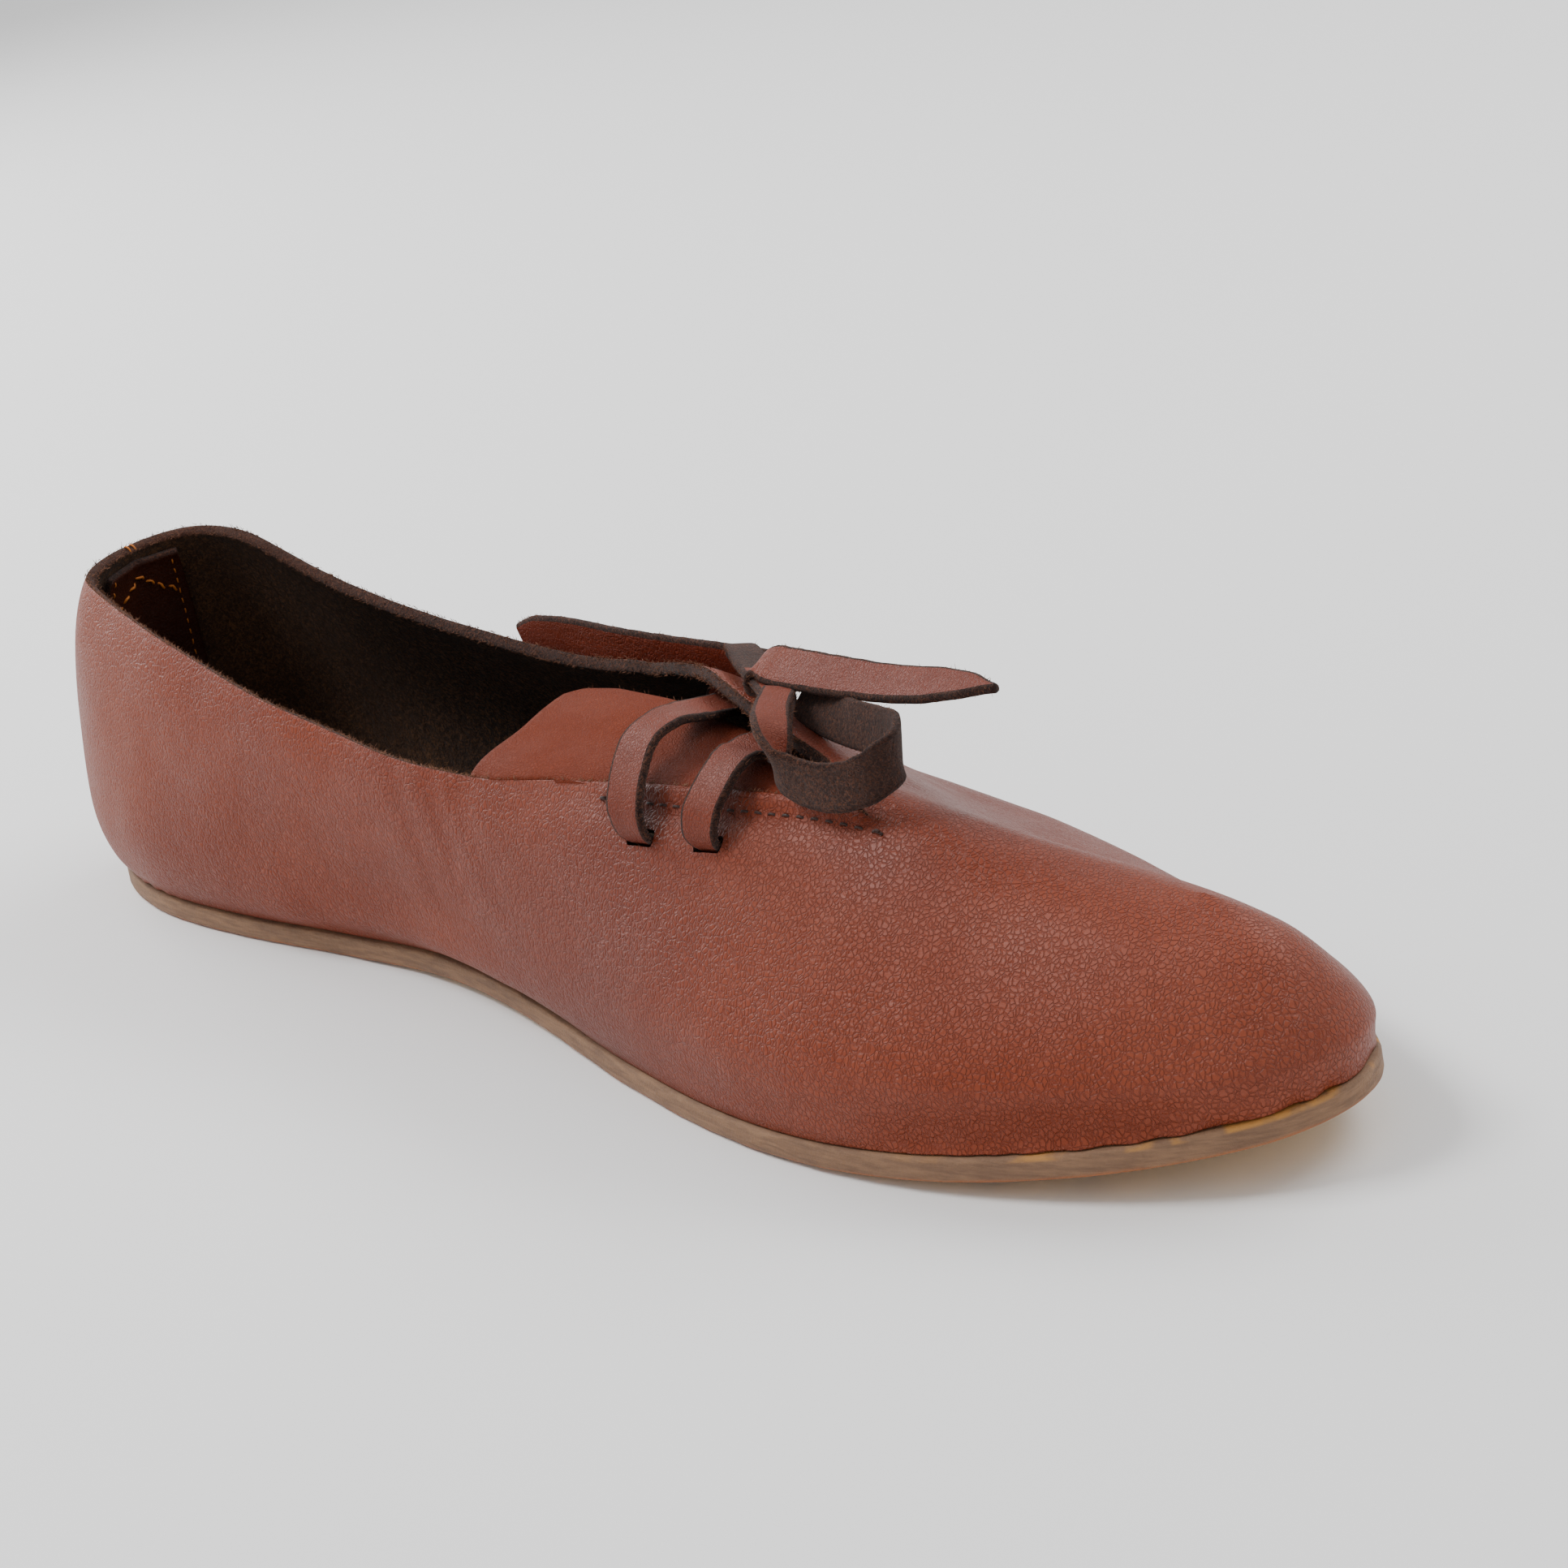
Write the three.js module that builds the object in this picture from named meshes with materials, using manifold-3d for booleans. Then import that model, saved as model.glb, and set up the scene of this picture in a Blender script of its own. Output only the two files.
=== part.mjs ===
// A left medieval lace-up shoe, in millimetres.
// X runs from heel to toe, Z is up, the inner side of the foot is at -Y and the floor is z = 0.
// Shapes are laid out from the back of the sole; the whole shoe is then moved back by heelSeat.

import * as THREE from "three";
import { mergeVertices } from "three/addons/utils/BufferGeometryUtils.js";
import Module from "manifold-3d";

const wasm = await Module();
wasm.setup();

// Sole sizes
const soleLength = 288;
const heelSeat = 36;
const ballWidth = 87.5;
const waistWidth = 58.5;
const heelWidth = 59;
const soleThickness = 3.8;
const soleBevel = 0.7;
const toeSpring = 8;
const toeSpringStart = 200;
const archLift = 1.2;
const archStart = 80;
const archEnd = 172;

// Upper sizes
const upperWall = 2;
const collarHeight = 57;
const instepHeight = 52;
const toeHeight = 34;
const featherInset = 0.8;
const lastingMargin = 10;
const heelFan = 0.05;
const toeFan = 0.075;
const bulgeHeight = 0.33;
const turnHeight = 3.5;
const turnShare = 0.8;

// Inner pieces
const insoleThickness = 1.6;
const gussetThickness = 1.6;
const gussetTuck = 0.16;
const stayThickness = 1.1;
const stayHalfStep = 0.055;
const stayLow = 1.25;
const stayHigh = 2.93;

// Lace
const laceWidth = 7;
const laceThickness = 1.8;
const laceBevel = 0.5;
const slotOut = 3;

// Nails
const nailCount = 42;
const nailInset = 6.5;
const nailHead = 3.4;
const nailHeadHeight = 0.8;
const nailShank = 1.5;
const nailLength = 3;
const nailRecess = 0.15;
const nailSides = 8;

// Clearances
const fitGap = 0.3;
const layerGap = 0.9;
const slotGap = 0.5;

// Mesh fineness
const stationCount = 37;
const wallSteps = 10;

// Outline of the sole: reach to each side as a share of the width that the row follows
const outline = [
  { at: 0, inner: -0.02, outer: 0.02, of: heelWidth },
  { at: 0.02, inner: 0.262, outer: 0.307, of: heelWidth },
  { at: 0.06, inner: 0.382, outer: 0.437, of: heelWidth },
  { at: 0.12, inner: 0.443, outer: 0.517, of: heelWidth },
  { at: 0.2, inner: 0.433, outer: 0.573, of: heelWidth },
  { at: 0.3, inner: 0.38, outer: 0.614, of: waistWidth },
  { at: 0.36, inner: 0.364, outer: 0.648, of: waistWidth },
  { at: 0.43, inner: 0.394, outer: 0.71, of: waistWidth },
  { at: 0.5, inner: 0.306, outer: 0.525, of: ballWidth },
  { at: 0.6, inner: 0.381, outer: 0.576, of: ballWidth },
  { at: 0.68, inner: 0.426, outer: 0.575, of: ballWidth },
  { at: 0.75, inner: 0.437, outer: 0.531, of: ballWidth },
  { at: 0.82, inner: 0.412, outer: 0.453, of: ballWidth },
  { at: 0.9, inner: 0.329, outer: 0.321, of: ballWidth },
  { at: 0.96, inner: 0.218, outer: 0.195, of: ballWidth },
  { at: 0.99, inner: 0.121, outer: 0.099, of: ballWidth },
  { at: 1, inner: 0.01, outer: -0.01, of: ballWidth },
];

// Sections of the upper from heel to toe. Each side has a bulge out past the sole's edge in
// shares of ballWidth, and a shoulder: how far it has come in to the ridge, and how high it is
// as a share of the row's tall size. Behind the throat the shoulders are the collar's edges.
const sections = [
  { at: 0, tall: collarHeight, ridge: 1.12, side: 0.01,
    innerBulge: 0.036, innerIn: 0.18, innerUp: 0.995, outerBulge: 0.036, outerIn: 0.18, outerUp: 0.995 },
  { at: 0.02, tall: collarHeight, ridge: 1.12, side: 0.01,
    innerBulge: 0.04, innerIn: 0.22, innerUp: 0.98, outerBulge: 0.036, outerIn: 0.24, outerUp: 1 },
  { at: 0.06, tall: collarHeight, ridge: 1.12, side: 0.01,
    innerBulge: 0.04, innerIn: 0.27, innerUp: 0.96, outerBulge: 0.036, outerIn: 0.36, outerUp: 0.975 },
  { at: 0.12, tall: collarHeight, ridge: 1.08, side: 0.01,
    innerBulge: 0.038, innerIn: 0.25, innerUp: 0.92, outerBulge: 0.033, outerIn: 0.43, outerUp: 0.885 },
  { at: 0.2, tall: collarHeight, ridge: 1.02, side: 0,
    innerBulge: 0.042, innerIn: 0.13, innerUp: 0.865, outerBulge: 0.03, outerIn: 0.48, outerUp: 0.82 },
  { at: 0.3, tall: collarHeight, ridge: 0.97, side: 0,
    innerBulge: 0.054, innerIn: -0.11, innerUp: 0.795, outerBulge: 0.03, outerIn: 0.5, outerUp: 0.775 },
  { at: 0.4, tall: collarHeight, ridge: 0.92, side: 0,
    innerBulge: 0.056, innerIn: -0.16, innerUp: 0.735, outerBulge: 0.02, outerIn: 0.56, outerUp: 0.76 },
  { at: 0.47, tall: instepHeight, ridge: 0.97, side: 0,
    innerBulge: 0.047, innerIn: 0, innerUp: 0.8, outerBulge: 0.01, outerIn: 0.62, outerUp: 0.86 },
  { at: 0.55, tall: instepHeight, ridge: 0.98, side: -0.02,
    innerBulge: 0.03, innerIn: 0.25, innerUp: 0.84, outerBulge: -0.015, outerIn: 0.52, outerUp: 0.7 },
  { at: 0.64, tall: instepHeight, ridge: 0.955, side: -0.06,
    innerBulge: 0.014, innerIn: 0.5, innerUp: 0.87, outerBulge: -0.037, outerIn: 0.5, outerUp: 0.6 },
  { at: 0.72, tall: instepHeight, ridge: 0.92, side: -0.1,
    innerBulge: 0.006, innerIn: 0.7, innerUp: 0.885, outerBulge: -0.04, outerIn: 0.5, outerUp: 0.54 },
  { at: 0.8, tall: instepHeight, ridge: 0.865, side: -0.1,
    innerBulge: 0.004, innerIn: 0.76, innerUp: 0.845, outerBulge: -0.036, outerIn: 0.5, outerUp: 0.505 },
  { at: 0.88, tall: toeHeight, ridge: 1.165, side: -0.05,
    innerBulge: 0.004, innerIn: 0.62, innerUp: 1.08, outerBulge: -0.015, outerIn: 0.48, outerUp: 0.8 },
  { at: 0.95, tall: toeHeight, ridge: 1.06, side: -0.02,
    innerBulge: 0.008, innerIn: 0.47, innerUp: 0.95, outerBulge: 0.002, outerIn: 0.42, outerUp: 0.83 },
  { at: 1, tall: toeHeight, ridge: 1.03, side: 0,
    innerBulge: 0.012, innerIn: 0.34, innerUp: 0.88, outerBulge: 0.012, outerIn: 0.34, outerUp: 0.88 },
];

// Edge of the flap: how far the outer half has come over from its own shoulder to the inner one,
// and how far it stands off the last as a share of collarHeight
const throatStart = 0.46;
const throatEnd = 0.79;
const flapReach = 1.3;
const flap = [
  { at: throatStart, over: 0, lift: 0 },
  { at: 0.51, over: 0.2, lift: 0.04 },
  { at: 0.57, over: 0.375, lift: 0.06 },
  { at: 0.64, over: 0.47, lift: 0.06 },
  { at: 0.7, over: 0.495, lift: 0.045 },
  { at: 0.745, over: 0.56, lift: 0.025 },
  { at: throatEnd, over: 1, lift: 0 },
];

// A length share turned to an even step round the outline, and back
const toStep = (at) => Math.acos(1 - 2 * at) / Math.PI;
const toShare = (step) => (1 - Math.cos(Math.PI * step)) / 2;

// Smooth curve through a table's rows, which runs on past both ends into the other side's rows
function through(rows, value, past, step) {
  const knots = rows.map((row) => ({ t: toStep(row.at), y: value(row) }));
  const before = { t: -knots[1].t, y: past(rows[1]) };
  const last = rows.length - 1;
  const after = { t: 2 - knots[last - 1].t, y: past(rows[last - 1]) };
  const all = [before, ...knots, after];
  let i = 1;
  while (i < last && all[i + 1].t < step) i += 1;
  const [a, b, c, d] = [all[i - 1], all[i], all[i + 1], all[i + 2]];
  const span = c.t - b.t;
  const u = (step - b.t) / span;
  const slope = (p, q, r) => {
    const left = (q.y - p.y) / (q.t - p.t);
    const right = (r.y - q.y) / (r.t - q.t);
    return (left * (r.t - q.t) + right * (q.t - p.t)) / (r.t - p.t);
  };
  const m0 = slope(a, b, c) * span;
  const m1 = slope(b, c, d) * span;
  return (2 * u ** 3 - 3 * u ** 2 + 1) * b.y + (u ** 3 - 2 * u ** 2 + u) * m0
    + (3 * u ** 2 - 2 * u ** 3) * c.y + (u ** 3 - u ** 2) * m1;
}

// Height of the sole's underside above the floor
function lift(x) {
  const toe = Math.max(0, (x - toeSpringStart) / (soleLength - toeSpringStart));
  const arch = Math.min(1, Math.max(0, (x - archStart) / (archEnd - archStart)));
  return toeSpring * toe ** 2 + archLift * Math.sin(Math.PI * arch) ** 2;
}

// Point of the sole's outline. Side is -1 inside the foot and 1 outside.
function rim(step, side) {
  if (step < 0) return rim(-step, -side);
  if (step > 1) return rim(2 - step, -side);
  const inner = (row) => -row.inner * row.of;
  const outer = (row) => row.outer * row.of;
  const y = side < 0 ? through(outline, inner, outer, step) : through(outline, outer, inner, step);
  return new THREE.Vector2(soleLength * toShare(step), y);
}

// Outline moved inwards by a distance
function rimInset(step, side, inset) {
  const tiny = 0.002;
  const run = rim(step + tiny, side).sub(rim(step - tiny, side)).normalize();
  const out = new THREE.Vector2(run.y, -run.x).multiplyScalar(-side);
  return rim(step, side).addScaledVector(out, -inset);
}

// One half of a section: feather edge, turn over the sole, bulge, shoulder and ridge
function halfSection(step, side) {
  const pick = (inner, outer) => {
    const own = side < 0 ? inner : outer;
    const other = side < 0 ? outer : inner;
    return through(sections, (row) => row[own] * (inner.endsWith("Up") ? row.tall : 1),
      (row) => row[other] * (inner.endsWith("Up") ? row.tall : 1), step);
  };
  const same = (value) => through(sections, value, value, step);
  const foot = rimInset(step, side, featherInset);
  const wide = rimInset(step, side, featherInset - pick("innerBulge", "outerBulge") * ballWidth);
  const at = toShare(step);
  const ridgeX = soleLength * (at + heelFan * (1 - at) ** 3 - toeFan * at ** 3);
  const ridge = new THREE.Vector2(ridgeX, same((row) => row.side) * ballWidth);
  const shoulder = foot.clone().lerp(ridge, pick("innerIn", "outerIn"));
  const bottom = soleThickness + fitGap;
  const shoulderUp = pick("innerUp", "outerUp");
  const ridgeUp = same((row) => row.ridge * row.tall);
  const rise = (p, z) => new THREE.Vector3(p.x, p.y, z);
  const base = lift(foot.x) + bottom;
  return [
    rise(foot, base),
    rise(foot.clone().lerp(wide, turnShare), base + turnHeight),
    rise(wide, base + (shoulderUp - base) * bulgeHeight),
    rise(shoulder, shoulderUp),
    rise(ridge, ridgeUp),
  ];
}

// Point of the last's surface. Round runs from 0 at the inner feather edge over the ridge at 4
// to 8 at the outer feather edge; the shoulders are at 3 and 5.
function lastPoint(step, round) {
  if (step < 0) return lastPoint(-step, 8 - round);
  if (step > 1) return lastPoint(2 - step, 8 - round);
  const inner = halfSection(step, -1);
  const outer = halfSection(step, 1).reverse().slice(1);
  const curve = new THREE.CatmullRomCurve3([...inner, ...outer], false, "centripetal");
  return curve.getPoint(Math.min(8, Math.max(0, round)) / 8);
}

// Outward direction of the last's surface
function lastNormal(step, round) {
  const tiny = 0.003;
  const wide = 0.01;
  const along = lastPoint(step + tiny, round).sub(lastPoint(step - tiny, round));
  if (along.length() < 1e-4) along.set(0, 1, 0);
  const across = lastPoint(step, round + wide).sub(lastPoint(step, round - wide));
  const normal = along.cross(across).normalize();
  const ridge = halfSection(Math.min(1, Math.max(0, step)), 1)[4];
  const core = new THREE.Vector3(ridge.x, ridge.y, ridge.z * 0.35);
  if (normal.dot(lastPoint(step, round).sub(core)) < 0) normal.negate();
  return normal;
}

// Collects triangles, leaves out flat ones and gives one closed geometry that faces out
function closedGeometry(fill) {
  const corners = [];
  const triangle = (a, b, c) => {
    const near = 1e-4;
    if (a.distanceTo(b) < near || b.distanceTo(c) < near || c.distanceTo(a) < near) return;
    corners.push(a, b, c);
  };
  const quad = (a, b, c, d) => {
    triangle(a, b, c);
    triangle(a, c, d);
  };
  fill(triangle, quad);
  let volume = 0;
  for (let i = 0; i < corners.length; i += 3) {
    volume += corners[i].dot(corners[i + 1].clone().cross(corners[i + 2]));
  }
  if (volume < 0) corners.reverse();
  const geometry = new THREE.BufferGeometry().setFromPoints(corners);
  return mergeVertices(geometry, 1e-3);
}

// Walls between closed rings in order; keep leaves out the faces where two rings lie together
function joinRings(quad, rings, keep = () => true) {
  for (let i = 0; i + 1 < rings.length; i += 1) {
    const count = rings[i].length;
    for (let j = 0; j < count; j += 1) {
      const k = (j + 1) % count;
      if (keep(i, j)) quad(rings[i][j], rings[i + 1][j], rings[i + 1][k], rings[i][k]);
    }
  }
}

// Steps of the stations, with one at each end of the throat
function stationSteps() {
  const marks = [0, toStep(throatStart), toStep(throatEnd), 1];
  const steps = [0];
  for (let i = 0; i + 1 < marks.length; i += 1) {
    const count = Math.max(1, Math.round(stationCount * (marks[i + 1] - marks[i])));
    for (let j = 1; j <= count; j += 1) {
      steps.push(marks[i] + (marks[i + 1] - marks[i]) * j / count);
    }
  }
  return steps;
}

// Where each half of the upper ends, counted round the section
function innerEdge(at) {
  if (at <= throatEnd) return 3;
  return 3 + (at - throatEnd) / (1 - throatEnd);
}

function flapValue(at, name) {
  if (at <= throatStart || at >= throatEnd) return 0;
  let i = 0;
  while (flap[i + 1].at < at) i += 1;
  const points = flap.map((row) => new THREE.Vector2(row.at, row[name]));
  return new THREE.SplineCurve(points).getPoint((i + (at - flap[i].at) / (flap[i + 1].at - flap[i].at))
    / (flap.length - 1)).y;
}

function outerEdge(at) {
  if (at >= throatEnd) return innerEdge(at);
  return 5 - 2 * flapValue(at, "over");
}

// Point at a depth under the last's surface, with the flap's lift when it belongs to the flap
function leatherPoint(step, round, depth, lifted) {
  const point = lastPoint(step, round);
  const normal = lastNormal(step, round);
  let raise = 0;
  if (lifted) {
    const at = toShare(step);
    const near = Math.max(0, 1 - (round - outerEdge(at)) / flapReach);
    raise = collarHeight * flapValue(at, "lift") * near ** 2 * (3 - 2 * near);
  }
  return point.addScaledVector(normal, raise - depth);
}

// Upper: one hollow wall with its lasting margin turned in over the sole
function upperGeometry() {
  const steps = stationSteps();
  const ring = (step, side) => {
    const at = toShare(step);
    const edge = side < 0 ? innerEdge(at) : outerEdge(at);
    const start = side < 0 ? 0 : 8;
    const outerWall = [];
    const innerWall = [];
    for (let j = 0; j <= wallSteps; j += 1) {
      const round = start + (edge - start) * j / wallSteps;
      outerWall.push(leatherPoint(step, round, 0, side > 0));
      if (j > 0) innerWall.push(leatherPoint(step, round, upperWall, side > 0));
    }
    const level = (inset, up) => {
      const p = rimInset(step, side, inset);
      return new THREE.Vector3(p.x, p.y, lift(p.x) + soleThickness + fitGap + up);
    };
    return [
      level(featherInset + lastingMargin, 0),
      ...outerWall,
      ...innerWall.reverse(),
      level(featherInset + upperWall, upperWall),
      level(featherInset + lastingMargin, upperWall),
    ];
  };
  const inner = steps.map((step) => ring(step, -1));
  const outer = steps.map((step) => ring(step, 1)).reverse();
  const closed = steps.map((step) => toShare(step) >= throatEnd - 1e-9);
  const flags = [...closed, ...closed.slice().reverse()];
  const rings = [...inner, ...outer];
  rings.push(inner[0]);
  flags.push(closed[0]);
  const edgeFace = wallSteps + 1;
  return closedGeometry((triangle, quad) => {
    joinRings(quad, rings, (i, j) => !(j === edgeFace && flags[i] && flags[i + 1]));
  });
}

// Flat plate with the sole's plan: rings from the lowest to the highest, closed at both ends
function plateGeometry(steps, rings) {
  return closedGeometry((triangle, quad) => {
    const loops = rings.map((ring) => {
      const inner = steps.map((step) => ring(step, -1));
      const outer = steps.map((step) => ring(step, 1));
      return [...inner, ...outer.slice(1, -1).reverse()];
    });
    const count = loops[0].length;
    for (let level = 0; level + 1 < loops.length; level += 1) {
      const [low, high] = [loops[level], loops[level + 1]];
      for (let k = 0; k < count; k += 1) {
        const next = (k + 1) % count;
        quad(low[k], low[next], high[next], high[k]);
      }
    }
    const bottom = loops[0];
    const top = loops[loops.length - 1];
    for (let i = 0; i + 1 < steps.length; i += 1) {
      const [a, b] = [(count - i) % count, count - i - 1];
      quad(top[i], top[i + 1], top[b], top[a]);
      quad(bottom[a], bottom[b], bottom[i + 1], bottom[i]);
    }
  });
}

// Manifold solid of a geometry, and back
function toSolid(geometry) {
  const bare = geometry.clone();
  bare.deleteAttribute("normal");
  bare.deleteAttribute("uv");
  const merged = mergeVertices(bare, 1e-4);
  const vertProperties = Float32Array.from(merged.attributes.position.array);
  const triVerts = Uint32Array.from(merged.index.array);
  return new wasm.Manifold(new wasm.Mesh({ numProp: 3, vertProperties, triVerts }));
}

function toGeometry(solid) {
  const mesh = solid.getMesh();
  const geometry = new THREE.BufferGeometry();
  geometry.setAttribute("position", new THREE.BufferAttribute(mesh.vertProperties, 3));
  geometry.setIndex(new THREE.BufferAttribute(mesh.triVerts, 1));
  return geometry;
}

// Nail with its head down; grow is the clearance round it and drop lengthens its head downwards
function nailGeometry(grow, drop) {
  const head = nailHead / 2 + grow;
  const shank = nailShank / 2 + grow;
  const profile = [
    new THREE.Vector2(0, -drop),
    new THREE.Vector2(head, -drop),
    new THREE.Vector2(head, nailHeadHeight + grow),
    new THREE.Vector2(shank, nailHeadHeight + grow),
    new THREE.Vector2(0, nailLength + grow),
  ];
  return new THREE.LatheGeometry(profile, nailSides);
}

// Places of the nails, evenly spaced round the sole and square to its underside
function nailPlaces() {
  const samples = 180;
  const loop = [];
  for (let i = 0; i < samples; i += 1) {
    const turn = 2 * i / samples;
    const side = turn < 1 ? -1 : 1;
    const p = rimInset(turn < 1 ? turn : 2 - turn, side, nailInset);
    loop.push(new THREE.Vector3(p.x, p.y, 0));
  }
  const curve = new THREE.CatmullRomCurve3(loop, true);
  curve.arcLengthDivisions = 4 * samples;
  const places = [];
  for (let i = 0; i < nailCount; i += 1) {
    const p = curve.getPointAt((i + 0.5) / nailCount);
    const half = nailHead / 2;
    const slope = Math.atan2(lift(p.x + half) - lift(p.x - half), nailHead);
    const low = Math.max(lift(p.x), (lift(p.x + half) + lift(p.x - half)) / 2);
    const tilt = new THREE.Quaternion().setFromAxisAngle(new THREE.Vector3(0, 1, 0), -slope);
    const stand = new THREE.Quaternion().setFromAxisAngle(new THREE.Vector3(1, 0, 0), Math.PI / 2);
    const matrix = new THREE.Matrix4();
    matrix.compose(new THREE.Vector3(p.x, p.y, low + nailRecess), tilt.multiply(stand),
      new THREE.Vector3(1, 1, 1));
    places.push(matrix);
  }
  return places;
}

// Outsole with a bevelled lower edge and a pocket for each nail
function outsoleGeometry(places) {
  const steps = stationSteps();
  const at = (inset, up) => (step, side) => {
    const p = rimInset(step, side, inset);
    return new THREE.Vector3(p.x, p.y, lift(p.x) + up);
  };
  const plate = plateGeometry(steps, [
    at(soleBevel, 0),
    at(0, soleBevel),
    at(0, soleThickness - soleBevel / 2),
    at(soleBevel / 2, soleThickness),
  ]);
  let solid = toSolid(plate);
  for (const matrix of places) {
    solid = solid.subtract(toSolid(nailGeometry(fitGap, 1).applyMatrix4(matrix)));
  }
  return toGeometry(solid);
}

// Insole on the lasting margin, inside the wall wherever that leans in
function insoleGeometry() {
  const floor = soleThickness + fitGap + upperWall + fitGap;
  const at = (up) => (step, side) => {
    const bulge = (row) => (side < 0 ? row.innerBulge : row.outerBulge);
    const past = (row) => (side < 0 ? row.outerBulge : row.innerBulge);
    const lean = Math.max(0, -through(sections, bulge, past, step) * ballWidth);
    const p = rimInset(step, side, featherInset + upperWall + 2 * fitGap + lean);
    return new THREE.Vector3(p.x, p.y, lift(p.x) + floor + up);
  };
  return plateGeometry(stationSteps(), [at(0), at(insoleThickness)]);
}

// Curved slab under the last's surface between two lines round the section
function slabGeometry(steps, low, high, depth, thickness, count) {
  const sheet = (extra) => steps.map((step) => {
    const row = [];
    for (let j = 0; j <= count; j += 1) {
      const round = low(step) + (high(step) - low(step)) * j / count;
      row.push(leatherPoint(step, round, depth + extra, false));
    }
    return row;
  });
  const [face, back] = [sheet(0), sheet(thickness)];
  const rings = face.map((row, i) => [...row, ...back[i].slice().reverse()]);
  return closedGeometry((triangle, quad) => {
    joinRings(quad, rings);
    const end = steps.length - 1;
    for (let j = 0; j < count; j += 1) {
      quad(face[0][j], face[0][j + 1], back[0][j + 1], back[0][j]);
      quad(face[end][j + 1], face[end][j], back[end][j], back[end][j + 1]);
    }
  });
}

// Even steps between two places along the outline
function stepsBetween(from, to, count) {
  return Array.from({ length: count + 1 }, (unused, i) => from + (to - from) * i / count);
}

// Gusset: sewn inside the throat's lower edge, it comes up over the instep and under the flap
const gusset = [
  { at: 0.468, top: 3.86 },
  { at: 0.476, top: 4 },
  { at: 0.5, top: 4.14 },
  { at: 0.56, top: 4.24 },
  { at: 0.66, top: 4.3 },
  { at: 0.74, top: 4.1 },
  { at: 0.775, top: 3.7 },
  { at: 0.8, top: 3.35 },
];

function gussetGeometry() {
  const ends = [gusset[0], gusset[gusset.length - 1]].map((row) => toStep(row.at));
  const steps = [ends[0], toStep(gusset[1].at), ...stepsBetween(toStep(gusset[2].at), ends[1], 12)];
  const points = gusset.map((row) => new THREE.Vector2(toStep(row.at), row.top));
  const top = (step) => {
    let i = 0;
    while (i + 2 < points.length && points[i + 1].x < step) i += 1;
    const share = (step - points[i].x) / (points[i + 1].x - points[i].x);
    return points[i].y + (points[i + 1].y - points[i].y) * share;
  };
  return slabGeometry(steps, () => 3 - gussetTuck, top, upperWall + layerGap, gussetThickness, 8);
}

// Stay sewn over the back seam inside the heel
function stayGeometry() {
  const steps = stepsBetween(-stayHalfStep, stayHalfStep, 6);
  return slabGeometry(steps, () => stayLow, () => stayHigh, upperWall + layerGap, stayThickness, 6);
}

// Flat strap swept through rows: a place, the direction of its width and a share of the width
function strapGeometry(rows, stepCount, grow = 0) {
  const places = new THREE.CatmullRomCurve3(rows.map((row) => row.place), false, "centripetal");
  const sides = new THREE.CatmullRomCurve3(rows.map((row) => row.side), false, "centripetal");
  const shares = rows.map((row) => row.share ?? 1);
  const rings = [];
  for (let i = 0; i <= stepCount; i += 1) {
    const u = i / stepCount;
    const run = places.getTangent(u);
    const side = sides.getPoint(u).addScaledVector(run, -sides.getPoint(u).dot(run)).normalize();
    const face = run.clone().cross(side);
    const k = Math.min(rows.length - 2, Math.floor(u * (rows.length - 1)));
    const share = shares[k] + (shares[k + 1] - shares[k]) * (u * (rows.length - 1) - k);
    const wide = laceWidth / 2 * share + grow;
    const thick = laceThickness / 2 + grow;
    const corner = (across, up) => places.getPoint(u).addScaledVector(side, across)
      .addScaledVector(face, up);
    const inWide = wide - laceBevel;
    const inThick = thick - laceBevel;
    rings.push([
      corner(-inWide, -thick), corner(inWide, -thick), corner(wide, -inThick), corner(wide, inThick),
      corner(inWide, thick), corner(-inWide, thick), corner(-wide, inThick), corner(-wide, -inThick),
    ]);
  }
  return closedGeometry((triangle, quad) => {
    joinRings(quad, rings);
    const last = rings[rings.length - 1];
    for (let j = 1; j + 1 < last.length; j += 1) {
      triangle(rings[0][0], rings[0][j], rings[0][j + 1]);
      triangle(last[0], last[j + 1], last[j]);
    }
  });
}

// Crossings of the lace, laid on the last: share of the length, round, and height off the last
const rearCrossing = [
  { at: 0.626, round: 2.73, up: -3.9 },
  { at: 0.626, round: 2.73, up: -1 },
  { at: 0.626, round: 2.75, up: 1.6 },
  { at: 0.625, round: 2.84, up: 3.4 },
  { at: 0.622, round: 3.02, up: 3.5 },
  { at: 0.617, round: 3.28, up: 1.9 },
  { at: 0.614, round: 3.5, up: 0.5 },
  { at: 0.612, round: 3.75, up: -0.5 },
  { at: 0.6, round: 4.05, up: -0.8 },
  { at: 0.575, round: 4.42, up: -1.2 },
  { at: 0.542, round: 4.7, up: -2.2 },
  { at: 0.53, round: 4.79, up: -1.9 },
  { at: 0.526, round: 4.82, up: 0.8 },
  { at: 0.526, round: 4.82, up: 2.9 },
];
const frontCrossing = [
  { at: 0.683, round: 2.73, up: -3.9 },
  { at: 0.683, round: 2.73, up: -1 },
  { at: 0.683, round: 2.75, up: 1.6 },
  { at: 0.682, round: 2.83, up: 3.6 },
  { at: 0.679, round: 2.98, up: 4.2 },
  { at: 0.676, round: 3.2, up: 3.1 },
  { at: 0.676, round: 3.4, up: 1.5 },
  { at: 0.675, round: 3.62, up: -0.2 },
  { at: 0.674, round: 3.9, up: -0.8 },
  { at: 0.672, round: 4.25, up: -0.8 },
  { at: 0.67, round: 4.42, up: -0.7 },
  { at: 0.669, round: 4.47, up: 1 },
  { at: 0.669, round: 4.48, up: 2.9 },
];
const innerBar = [
  { at: 0.614, round: 2.63, up: -3.2 },
  { at: 0.635, round: 2.63, up: -3.2 },
  { at: 0.675, round: 2.63, up: -3.2 },
  { at: 0.695, round: 2.63, up: -3.2 },
];

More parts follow.
